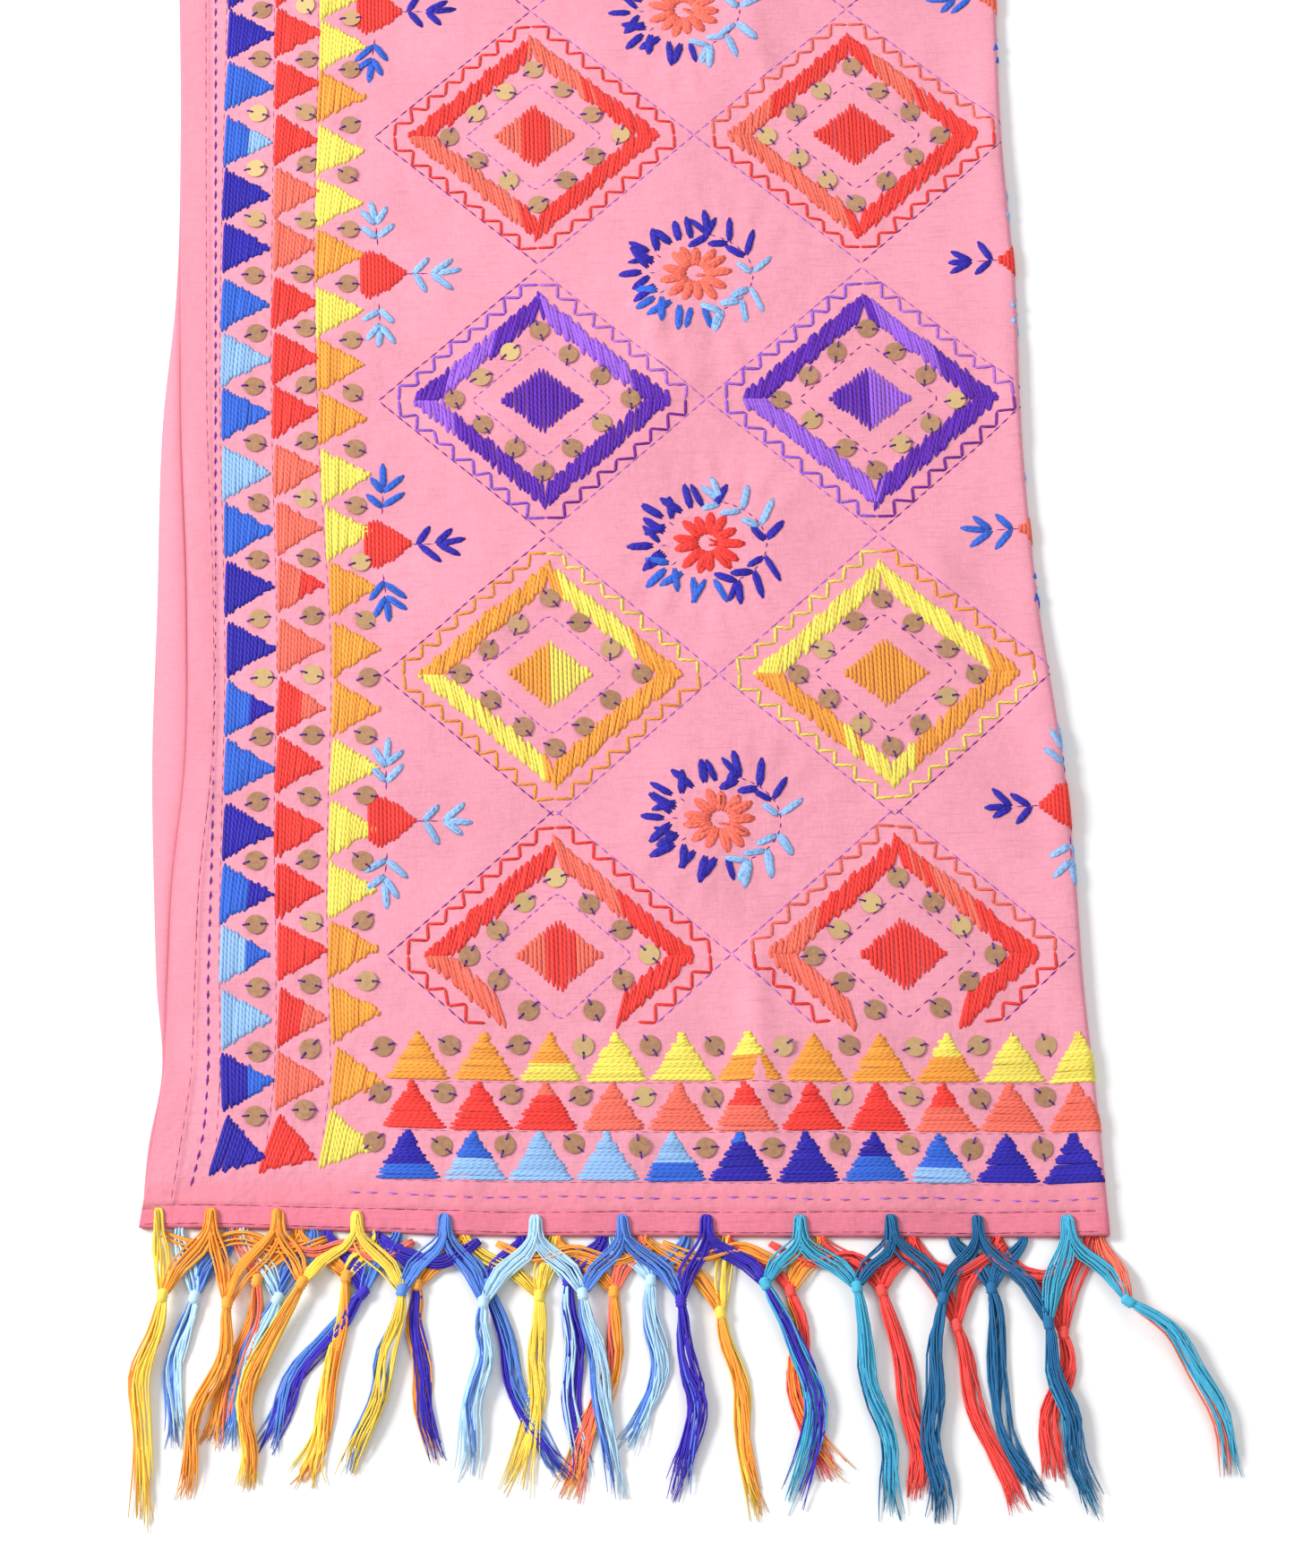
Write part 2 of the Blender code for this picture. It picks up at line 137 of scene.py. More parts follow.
# Embroidery layout in metres
ROW_PITCH = 0.0325
ROW_COUNT = 11
ROW_SLOPE = -0.0055
HALF_BASE = 16.2 * MM
LATTICE_U = (0.2025, 0.3735)
LATTICE_MIDDLE = 0.288
HALF_WIDTH = 0.0855
HALF_PITCH = 0.0767
LATTICE_V = np.concatenate([[0.1375, 0.2873, 0.4415], np.linspace(0.5975, LENGTH - 0.1375, 11)])
FLOWER_V = np.concatenate([[0.2085, 0.360, 0.515], (LATTICE_V[3:-1] + LATTICE_V[4:]) / 2])
BORDER_END = 0.0985

# Triangle columns: base line as v and u in millimetres, then for each column its base line, depth, first
# centre, count, and tones from the near end. The letters are those of THREADS, and two letters are the tone
# of the base and that of the tip.
BLUE_BASE = np.array([
    (0, 20.0), (25, 28.6), (40, 33.0), (54, 36.6), (70, 35.4), (104, 35.2), (122, 34.8), (211, 36.0),
    (287, 37.7), (364, 36.6), (441, 35.2), (572, 36.5), (654, 38.5), (1200, 36.0), (1700, 37.5), (2150, 35.0),
    (2215, 36.6), (2230, 33.0), (2245, 28.6), (2270, 20.0),
]) * MM
RED_BASE = np.array([
    (0, 46.0), (28, 53.4), (42, 58.0), (55, 61.8), (72, 61.8), (104, 62.8), (211, 62.2), (287, 64.2),
    (441, 62.0), (654, 64.5), (1200, 62.5), (1700, 64.0), (2150, 62.0), (2215, 61.8), (2228, 58.0),
    (2242, 53.4), (2270, 46.0),
]) * MM
YELLOW_BASE = np.array([
    (0, 79.0), (29, 82.6), (59, 87.6), (75, 89.6), (122, 88.4), (211, 89.2), (287, 91.9), (415, 86.6),
    (524, 84.8), (654, 88.3), (1200, 86.5), (1700, 88.0), (2150, 88.5), (2211, 87.6), (2241, 82.6),
    (2270, 79.0),
]) * MM
COLUMNS = (
    (BLUE_BASE, 25.0 * MM, 40.6 * MM, 68, "n nb l lb bn n b bn n n b l b l b n n bl b n"),
    (RED_BASE, 23.6 * MM, 42.2 * MM, 68, "r c rc r r r r rc c cr c c r r r c c r r r"),
    (YELLOW_BASE, 24.6 * MM, 44.8 * MM, 69, "y o o o y y y o o o y y o o y o y y o y"),
)

# Triangle rows at the ends: first centre u, base v, depth, tones from the free hem to the fold
ROWS = (
    (0.1255, 26.1 * MM, 24.0 * MM, "bnnn llbbb l l bll nnnb n bn lbbb n n"),
    (0.1289, 51.0 * MM, 23.6 * MM, "r r rrc cc c cr r r cr c c"),
    (0.1317, 75.4 * MM, 23.6 * MM, "o o yoo y y oy o o oy y y"),
)

# Diamonds: for each kind and column the ring's tones round it from the left corner, a turn being 0 to 4,
# then the tones of the zigzag, of the running stitch inside and of the centre from left to right
DIAMONDS = {
    (0, 0): (((0, "r"), (1.0, "c"), (1.5, "r"), (2.9, "r"), (3.2, "c")), "rrrr", "a", "crc"),
    (0, 1): (((0, "c"), (0.3, "r"), (1.2, "c"), (1.6, "r"), (3.1, "c")), "ccrr", "p", "rr"),
    (1, 0): (((0, "o"), (1.1, "y"), (1.7, "o"), (3.1, "y")), "oyoo", "a", "oy"),
    (1, 1): (((0, "y"), (0.9, "y"), (1.8, "o"), (2.8, "y"), (3.3, "o")), "yoyy", "p", "oo"),
    (2, 0): (((0, "d"), (0.15, "v"), (0.55, "d"), (1.0, "v"), (1.8, "d"), (3.7, "v")), "vapv", "a", "dd"),
    (2, 1): (((0, "d"), (1.15, "v"), (1.6, "d"), (3.0, "v")), "vapv", "p", "dv"),
}

# Fringe. Holes of the top layer in millimetres of u, and how far the under layer's lie beside them
HOLES = np.array([4, 30, 62, 100, 143, 187, 229, 270, 315, 359, 401, 445]) * MM
UNDER_HOLE_SHIFT = 10.0 * MM
BACK_ARM_REACH = 17 * MM
FOLD_ARM_U = 460.5 * MM
HOLE_SETBACK = 6.8 * MM
ARM_SPACING = 0.5 * MM
TOP_KNOT_HEIGHT = 6.4 * MM
UNDER_KNOT_HEIGHT = 2.6 * MM
FAR_SWAY = 0.9
TOP_LOCK_FALL = np.array([1.0, 0.88, 0.76, 0.66, 0.50, 0.0])
UNDER_LOCK_FALL = np.array([1.0, 0.55, 0.25, 0.08, 0.0, 0.0])

# Hanging yarn in millimetres: u and v of the knot, two bends and the tip, then the yarns of the two arms and
# the share of the first one below the knot
TOP_TASSELS = (
    (7, -34, 0, -63, -4, -94, -2, -147, "yellow", "orange", 0.75),
    (38, -38, 34, -70, 22, -100, 17, -132, "orange", "orange", 0.5),
    (74, -28, 51, -68, 48, -100, 46, -129, "orange", "yellow", 0.6),
    (122, -32, 116, -62, 105, -92, 94, -122, "yellow", "royal_blue", 0.45),
    (161, -38, 160, -58, 156, -88, 150, -125, "royal_blue", "light_blue", 0.15),
    (209, -34, 212, -58, 218, -88, 222, -133, "light_blue", "royal_blue", 0.6),
    (256, -38, 258, -71, 261, -95, 249, -134, "royal_blue", "navy", 0.08),
    (297, -29, 309, -59, 320, -89, 302, -140, "navy", "cyan", 0.4),
    (341, -31, 344, -72, 351, -106, 351, -144, "cyan", "teal", 0.6),
    (382, -37, 374, -76, 374, -111, 375, -145, "teal", "teal", 0.5),
    (432, -50, 435, -81, 440, -111, 448, -145, "teal", "cyan", 0.5),
    (471, -39, 495, -58, 509, -90, 514, -124, "cyan", "coral", 0.5),
)
UNDER_TASSELS = (
    (22, -34, 18, -52, 12, -76, 14, -108, "light_blue", "royal_blue", 0.6),
    (52, -26, 48, -52, 38, -82, 29, -108, "coral", "orange", 0.35),
    (95, -24, 91, -61, 80, -102, 72, -126, "orange", "yellow", 0.5),
    (129, -28, 129, -52, 131, -83, 137, -116, "navy", "orange", 0.45),
    (188, -34, 187, -62, 184, -85, 172, -131, "yellow", "yellow", 0.5),
    (224, -32, 223, -62, 211, -97, 199, -134, "orange", "coral", 0.6),
    (275, -43, 279, -69, 284, -105, 288, -145, "orange", "yellow", 0.4),
    (309, -32, 313, -58, 312, -92, 328, -124, "red", "orange", 0.75),
    (353, -32, 362, -76, 366, -110, 362, -134, "red", "red", 0.5),
    (388, -50, 394, -78, 402, -110, 414, -140, "red", "red", 0.5),
    (439, -54, 439, -72, 430, -97, 430, -128, "red", "red", 0.5),
)
BACK_TASSELS = (
    (62, -35, 55, -50, 43, -77, 36, -108, "light_blue", "royal_blue", 0.5),
    (103, -32, 89, -50, 68, -77, 55, -111, "navy", "royal_blue", 0.6),
    (163, -28, 173, -62, 180, -91, 200, -124, "royal_blue", "navy", 0.7),
    (202, -26, 202, -53, 203, -84, 205, -124, "light_blue", "navy", 0.35),
    (242, -26, 241, -51, 244, -78, 226, -112, "light_blue", "royal_blue", 0.6),
    (406, -31, 407, -54, 409, -102, 423, -134, "teal", "teal", 0.5),
)

# Slack loops of yarn under the edge, behind the arms: u and v of five points in millimetres, and the yarn
SLACK_LOOPS = (
    (6, -3, 24, -9, 44, -5, 66, -10, 86, -4, "orange"),
    (58, -4, 78, -12, 96, -8, 112, -13, 128, -4, "coral"),
    (112, -3, 124, -11, 140, -16, 152, -9, 160, -3, "navy"),
    (168, -4, 186, -13, 206, -8, 226, -14, 244, -5, "orange"),
    (248, -4, 266, -12, 286, -7, 304, -15, 322, -5, "orange"),
    (300, -4, 318, -16, 338, -11, 352, -18, 368, -5, "red"),
    (356, -4, 372, -14, 388, -22, 402, -15, 414, -4, "red"),
    (402, -4, 416, -19, 432, -24, 444, -14, 452, -4, "red"),
)

# Camera, fitted to the picture's outline
CAMERA_PLACE = (-0.0318, -1.5956, 1.8993)
CAMERA_TILT = np.radians(20.0)
CAMERA_YAW = np.radians(2.0978)
CAMERA_LENS = 91.87
SENSOR_WIDTH = 36.0

# Soft round lights: name, place, diameter, power and colour
LIGHTS = (
    ("key_light", (-2.3, -0.3, 1.7), 1.1, 96.0, (1.0, 0.99, 0.98)),
    ("fill_light", (1.8, -2.2, 2.4), 2.4, 14.0, (0.97, 0.98, 1.0)),
    ("far_light", (0.2, 2.6, 2.6), 2.2, 36.0, (1.0, 1.0, 1.0)),
)
SKY_STRENGTH = 0.50
FLOOR_HALF = 9

# How bright the studio light makes a level white surface
STUDIO_LEVEL = 1.28


def linear(red, green, blue):
    """Colour from 0 to 255 as the picture shows it, to the linear colour a surface needs in this light."""
    value = np.array([red, green, blue]) / 255
    low = value / 12.92
    high = ((value + 0.055) / 1.055) ** 2.4
    return tuple((np.where(value <= 0.04045, low, high) / STUDIO_LEVEL).tolist())


THREADS = {
    "n": ("navy", linear(46, 35, 168)), "b": ("blue", linear(52, 102, 214)),
    "l": ("light_blue", linear(146, 188, 240)), "r": ("red", linear(253, 62, 56)),
    "c": ("coral", linear(254, 112, 94)), "y": ("yellow", linear(255, 228, 98)),
    "o": ("orange", linear(254, 160, 64)), "d": ("dark_purple", linear(96, 38, 176)),
    "v": ("violet", linear(158, 98, 226)), "p": ("plum", linear(128, 36, 158)),
    "a": ("lavender", linear(188, 116, 222)),
}
YARNS = {
    "yellow": linear(255, 222, 96), "orange": linear(253, 158, 66), "light_blue": linear(184, 220, 249),
    "royal_blue": linear(88, 138, 228), "navy": linear(62, 44, 190), "cyan": linear(80, 184, 214),
    "teal": linear(38, 110, 160), "red": linear(252, 74, 66), "coral": linear(253, 122, 102),
}
DOUBLED_CLOTH = linear(250, 142, 160)
SHADOWED_CLOTH = linear(170, 66, 88)
SEAM_THREAD = linear(184, 84, 122)
BRIGHT_BRASS = linear(252, 218, 150)

ENDS = (("near", False), ("far", True))


class ShawlSizes(bpy.types.PropertyGroup):
    satin_height: FloatProperty(
        name="Satin height", description="How high a satin stitch stands on the cloth",
        default=0.75 * MM, min=0.1 * MM, max=3 * MM, unit="LENGTH")
    satin_rows: IntProperty(
        name="Satin rows", description="Stitches from the base to the tip of a border triangle",
        default=14, min=4, max=24)
    ring_stitches: IntProperty(
        name="Ring stitches", description="Stitches on each side of a diamond's ring",
        default=33, min=10, max=60)
    dash: FloatProperty(
        name="Running stitch", description="Length of one running stitch",
        default=5.3 * MM, min=1 * MM, max=12 * MM, unit="LENGTH")
    thread: FloatProperty(
        name="Thread", description="Width of the single embroidery thread",
        default=2.0 * MM, min=0.2 * MM, max=3 * MM, unit="LENGTH")
    sequin: FloatProperty(
        name="Sequin", description="Diameter of a sequin",
        default=10.2 * MM, min=2 * MM, max=20 * MM, unit="LENGTH")
    yarn: FloatProperty(
        name="Fringe yarn", description="Diameter of one yarn of the fringe",
        default=1.26 * MM, min=0.3 * MM, max=3 * MM, unit="LENGTH")
    arm_yarns: IntProperty(
        name="Yarns in an arm", description="Yarns that run from one hole to a knot",
        default=14, min=2, max=20)
    lock_yarns: IntProperty(
        name="Yarns in a lock", description="Yarns that hang from a knot",
        default=27, min=4, max=40)


class ShawlColours(bpy.types.PropertyGroup):
    cloth: FloatVectorProperty(
        name="Cloth", description="Colour of the woven cloth", subtype="COLOR", size=3,
        default=linear(254, 167, 188), min=0, max=1)
    hem: FloatVectorProperty(
        name="End hem", description="Colour of the turned end hems", subtype="COLOR", size=3,
        default=linear(250, 138, 162), min=0, max=1)
    brass: FloatVectorProperty(
        name="Sequin", description="Colour of the brass sequins", subtype="COLOR", size=3,
        default=linear(220, 166, 126), min=0, max=1)
    floor: FloatVectorProperty(
        name="Floor", description="Colour of the floor", subtype="COLOR", size=3,
        default=(0.93, 0.93, 0.935), min=0, max=1)


# Cloth surface

def smooth_curve(x, knots, values):
    """Cubic Hermite curve through the values, with each slope taken from the neighbouring knots."""
    slopes = np.gradient(values, knots)
    i = np.clip(np.searchsorted(knots, x) - 1, 0, len(knots) - 2)
    span = knots[i + 1] - knots[i]
    t = (x - knots[i]) / span
    return ((1 + 2 * t) * (1 - t) ** 2 * values[i] + t * (1 - t) ** 2 * span * slopes[i]
            + t * t * (3 - 2 * t) * values[i + 1] + t * t * (t - 1) * span * slopes[i + 1])


def pairs(u, v):
    """Rows of u and v."""
    return np.stack([u, v], axis=1)


def directions(angles):
    """Unit vectors (cos, sin) of the angles."""
    return pairs(np.cos(angles), np.sin(angles))


def from_end(v, far):
    """Distance from the near end to v, or from the far end where asked; the same sum turns it back into v."""
    return LENGTH - v if far else v


def outline(v):
    """Free edge of the top layer, free edge of the under layer and fold, at each v."""
    return [smooth_curve(v, OUTLINE[:, 0], OUTLINE[:, column]) for column in (1, 2, 3)]


def end_drop(u, v):
    """How far the near end lies beyond its straight line: a curve along the width times a curve along v."""
    reach = smooth_curve(np.clip(u, END_DROP[0, 0], END_DROP[-1, 0]), END_DROP[:, 0], END_DROP[:, 1])
    near = np.clip(v, DROP_SHARE[0, 0] * MM, DROP_SHARE[-1, 0] * MM)
    return reach * smooth_curve(near, DROP_SHARE[:, 0] * MM, DROP_SHARE[:, 1])


def world(u, v, z):
    """Cloth coordinates to x, y and z."""
    x = u - CENTRE_U
    y = v - LENGTH / 2 - SKEW * (u - PIVOT_U) - end_drop(u, v)
    return np.stack(np.broadcast_arrays(x, y, z), axis=-1)


def ridges(u, v, table):
    """Sum of height * exp(-(distance to a line / half width)^2) over the table's lines."""
    height = np.zeros(np.broadcast(u, v).shape)
    for u0, v0, u1, v1, top, half_width in table:
        du, dv = u1 - u0, v1 - v0
        along = np.clip(((u - u0) * du + (v - v0) * dv) / (du * du + dv * dv), 0, 1)
        distance = np.hypot(u - u0 - along * du, v - v0 - along * dv)
        height += top * np.exp(-(distance / half_width) ** 2)
    return height


def nearest_offset(v, centres):
    """Signed distance of each v to the nearest of the centres."""
    i = np.clip(np.searchsorted((centres[1:] + centres[:-1]) / 2, v), 0, len(centres) - 1)
    return v - centres[i]


def puckers(u, v):
    """Rays of small waves round each flower: height * cos(rays * angle) inside a ring-shaped bell."""
    du = u - LATTICE_MIDDLE - 0.002
    dv = nearest_offset(v, FLOWER_V)
    radius = np.hypot(du, dv * 1.15)
    bell = np.exp(-((radius - PUCKER_RADIUS) / PUCKER_REACH) ** 2)
    return PUCKER_HEIGHT * bell * np.cos(PUCKER_RAYS * np.arctan2(dv, du) + 3 * np.sin(40 * v))


def cloth_height(u, v):
    """Height of the top layer: flat height, swelling to the fold, creases, wrinkles, ripple and puckers."""
    fold_start = outline(v)[2] - FOLD_RADIUS
    swell = (2 * FOLD_RADIUS - TOP_HEIGHT) * np.exp(-((fold_start - u) / FOLD_REACH) ** 2)
    height = TOP_HEIGHT + swell + ridges(u, v, CREASES) + ridges(u, v, WRINKLES) + puckers(u, v)
    for along_u, along_v, phase, size in RIPPLES:
        height += size * MM * np.sin(2 * np.pi * (along_u * u + along_v * v) / RIPPLE_SPAN + phase)
    return height


def on_cloth(u, v, lift):
    """Place at a lift above the outer face: the top layer, the arc of the fold, then the under layer."""
    u, v, lift = np.broadcast_arrays(u, v, lift)
    fold_start = outline(v)[2] - FOLD_RADIUS
    top = cloth_height(np.minimum(u, fold_start), v)
    past = np.maximum(u - fold_start, 0)
    turn = np.clip(past / FOLD_RADIUS, 0, np.pi)
    beyond = np.maximum(past - np.pi * FOLD_RADIUS, 0)
    place_u = np.minimum(u, fold_start) + (FOLD_RADIUS + lift) * np.sin(turn) - beyond
    slack = (top - 2 * FOLD_RADIUS) * (1 + np.cos(turn)) / 2
    return world(place_u, v, FOLD_RADIUS + (FOLD_RADIUS + lift) * np.cos(turn) + slack)


def side_rise(u, v):
    """Extra height of the turned side hem, sloping down over the millimetre beside its inner edge."""
    inside = np.clip((outline(v)[0] + SIDE_HEM + 1 * MM - u) / (1 * MM), 0, 1)
    return SIDE_HEM_RISE * inside


# Meshes

CENTIMETRE = 0.01


class Bundle:
    """Closed strands that become one mesh: quads along every strand and a flat cap at each end.

    Its map gives the centimetres along the strand and the share of the way round it.
    """

    def __init__(self):
        self.points, self.tones = [], []
        self.corners, self.sizes, self.maps, self.kinds = [], [], [], []
        self.count = 0

    def add(self, rings, tone, kind=0):
        """Adds strands given as rings (strand, ring, point, xyz), clockwise when seen along the strand."""
        strands, along, around = rings.shape[:3]
        index = self.count + np.arange(strands * along * around).reshape(strands, along, around)
        turned = np.roll(index, -1, axis=2)
        quads = np.stack([index[:, :-1], turned[:, :-1], turned[:, 1:], index[:, 1:]], axis=-1)
        caps = np.concatenate([index[:, 0, ::-1], index[:, -1]])

        step = np.linalg.norm(np.diff(rings.mean(axis=2), axis=1), axis=2)
        run = np.concatenate([np.zeros((strands, 1)), np.cumsum(step, axis=1)], axis=1) / CENTIMETRE
        near = np.broadcast_to(run[:, :-1, None], quads.shape[:3])
        far = np.broadcast_to(run[:, 1:, None], quads.shape[:3])
        side = np.broadcast_to(np.arange(around) / around, quads.shape[:3])
        other = side + 1 / around
        quad_map = np.stack([near, side, near, other, far, other, far, side], axis=-1)
        ends = np.concatenate([run[:, 0], run[:, -1]])[:, None, None]
        cap_map = np.concatenate(np.broadcast_arrays(ends, np.full((1, around, 1), 0.5)), axis=2)

        self.points.append(rings.reshape(-1, 3))
        self.tones.append(np.repeat(np.broadcast_to(tone, strands), along * around))
        self.corners += [quads.ravel(), caps.ravel()]
        self.sizes += [np.full(quads[..., 0].size, 4), np.full(len(caps), around)]
        self.maps += [quad_map.reshape(-1, 2), cap_map.reshape(-1, 2)]
        self.kinds.append(np.full(quads[..., 0].size + len(caps), kind))
        self.count += index.size

    def mesh(self, name):
        """The strands as one mesh with their map, materials and tones."""
        made = polygon_mesh(name, np.concatenate(self.points), np.concatenate(self.corners),
                            np.concatenate(self.sizes))
        made.polygons.foreach_set("material_index", np.concatenate(self.kinds).astype(np.int32))
        made.uv_layers.new(name="strand").uv.foreach_set(
            "vector", np.concatenate(self.maps).astype(np.float32).ravel())
        set_attribute(made, "tone", np.concatenate(self.tones))
        return made


def polygon_mesh(name, points, corners, sizes):
    """Smooth mesh from points, every face's corner indices in a row, and every face's corner count."""
    mesh = bpy.data.meshes.new(name)
    mesh.vertices.add(len(points))
    mesh.vertices.foreach_set("co", np.asarray(points, np.float32).ravel())
    mesh.loops.add(len(corners))
    mesh.loops.foreach_set("vertex_index", np.asarray(corners, np.int32))
    mesh.polygons.add(len(sizes))
    mesh.polygons.foreach_set("loop_start", (np.cumsum(sizes) - sizes).astype(np.int32))
    mesh.polygons.foreach_set("use_smooth", np.ones(len(sizes), bool))
    mesh.update(calc_edges=True)
    return mesh


def set_attribute(mesh, name, values):
    """Gives every point of the mesh one number of the values."""
    layer = mesh.attributes.new(name, "FLOAT", "POINT")
    layer.data.foreach_set("value", np.asarray(values, np.float32).ravel())


def add_piece(name, mesh, materials, replaced=()):
    """Links the mesh as a piece that rides on the shawl and stands for the replaced CAD nodes."""
    piece = bpy.data.objects.new(name, mesh)
    bpy.context.scene.collection.objects.link(piece)
    for material in materials:
        mesh.materials.append(material)
    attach(piece, BODY)
    if replaced:
        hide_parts(*replaced)
    return piece


# Sections of a stitch as shares of its width and height, and forms along it as place, swelling and rise
SATIN_SECTION = ((0.50, 0.0), (0.35, 1.0), (-0.35, 1.0), (-0.50, 0.0))
THREAD_SECTION = ((0.50, 0.0), (0.0, 1.0), (-0.50, 0.0))
SATIN_FORM = ((0.0, 0.45, 0.05), (0.10, 0.95, 0.85), (0.5, 1.0, 1.0), (0.90, 0.95, 0.85), (1.0, 0.45, 0.05))
RING_FORM = ((0.0, 0.45, 0.05), (0.14, 0.95, 0.9), (0.86, 0.95, 0.9), (1.0, 0.45, 0.05))
DASH_FORM = ((0.0, 0.55, 0.0), (0.5, 1.0, 1.0), (1.0, 0.55, 0.0))
LEAF_FORM = ((0.0, 0.25, 0.15), (0.26, 0.95, 0.95), (0.76, 0.92, 0.9), (1.0, 0.15, 0.1))
# The satin form in many steps, for stitches that go round the fold
FOLD_FORM = tuple((t, 1.0 - 0.55 * (t in (0.0, 1.0)), 1.0 - 0.95 * (t in (0.0, 1.0)))
                  for t in np.linspace(0, 1, 14))
SUNK = 0.15 * MM


def stitch_rings(starts, ends, width, height, form, section):
    """Rings of straight stitches laid on the cloth from starts to ends, both arrays of u and v.

    A ring is start + t * (end - start) + across * width * side on the cloth, lifted by height * rise.
    """
    t, swell, rise = np.array(form).T
    side, up = np.array(section).T
    line = ends - starts
    across = pairs(-line[:, 1], line[:, 0])
    across /= np.linalg.norm(across, axis=1, keepdims=True) + 1e-9
    width = np.broadcast_to(width, len(starts))
    height = np.broadcast_to(height, len(starts))
    centre = starts[:, None] + t[None, :, None] * line[:, None]
    offset = (width[:, None] * swell)[:, :, None] * side
    place = centre[:, :, None] + offset[..., None] * across[:, None, None]
    lift = (height[:, None] * rise)[:, :, None] * up - SUNK * (up == 0)
    return on_cloth(place[..., 0], place[..., 1], lift)


def tube_rings(paths, radii, sides):
    """Rings round paths: centre + radius * (cos * side + sin * up), with side level and across the path."""
    along = np.gradient(paths, axis=1)
    side = np.cross(along, (0, 0, 1))
    side /= np.linalg.norm(side, axis=2, keepdims=True) + 1e-12
    up = np.cross(side, along)
    up /= np.linalg.norm(up, axis=2, keepdims=True) + 1e-12
    turn = -2 * np.pi * (np.arange(sides) + 0.5) / sides
    spoke = np.cos(turn)[:, None] * side[:, :, None] + np.sin(turn)[:, None] * up[:, :, None]
    return paths[:, :, None] + radii[:, :, None, None] * spoke


class Embroidery:
    """Stitches sorted by thread, with one bundle and so one piece for each thread."""

    def __init__(self, group, seed):
        self.group = group
        self.bundles = {}
        self.random = np.random.default_rng(seed)

    def add(self, thread, starts, ends, width, height, form=SATIN_FORM, section=SATIN_SECTION):
        """Adds stitches of one thread, each with its own tone."""
        bundle = self.bundles.setdefault(thread, Bundle())
        rings = stitch_rings(starts, ends, width, height, form, section)
        bundle.add(rings, self.random.random(len(starts)))

    def add_each(self, threads, starts, ends, width, height, form=SATIN_FORM):
        """Adds stitches that each have their own thread."""
        width = np.broadcast_to(width, len(starts))
        height = np.broadcast_to(height, len(starts))
        for thread in sorted(set(threads)):
            pick = threads == thread
            self.add(thread, starts[pick], ends[pick], width[pick], height[pick], form)

    def add_line(self, thread, starts, ends, width, height):
        """Adds running stitches of single thread."""
        self.add(thread, starts, ends, width, height, DASH_FORM, THREAD_SECTION)

    def make(self):
        """Makes one piece of each thread's stitches."""
        for thread, bundle in self.bundles.items():
            name = f"{self.group}_{THREADS[thread][0]}"
            add_piece(name, bundle.mesh(name), [thread_material(thread)])


def line_dashes(path, dash, gap, random):
    """Starts and ends of running stitches along a path of u and v points, evenly spaced by its length."""
    step = np.linalg.norm(np.diff(path, axis=0), axis=1)
    run = np.concatenate([[0], np.cumsum(step)])
    count = max(int(run[-1] / (dash + gap)), 1)
    pitch = run[-1] / count
    begin = (np.arange(count) + 0.5) * pitch - dash / 2
    begin = begin + random.uniform(-0.08, 0.08, count) * pitch
    finish = begin + dash * random.uniform(0.85, 1.1, count)
    return [pairs(*(np.interp(at, run, line) for line in path.T)) for at in (begin, finish)]


# Materials

class Value:
    """A shader socket that plain arithmetic can use; every operation adds one Math node."""

    def __init__(self, graph, socket):
        self.graph, self.socket = graph, socket

    def math(self, operation, first, second=0.0):
        return self.graph.node("ShaderNodeMath", {"operation": operation}, {0: first, 1: second})

    def __add__(self, other):
        return self.math("ADD", self, other)

    __radd__ = __add__

    def __sub__(self, other):
        return self.math("SUBTRACT", self, other)

    def __rsub__(self, other):
        return self.math("SUBTRACT", other, self)

    def __mul__(self, other):
        return self.math("MULTIPLY", self, other)

    __rmul__ = __mul__

    def sine(self):
        return self.math("SINE", self)

    def absolute(self):
        return self.math("ABSOLUTE", self)


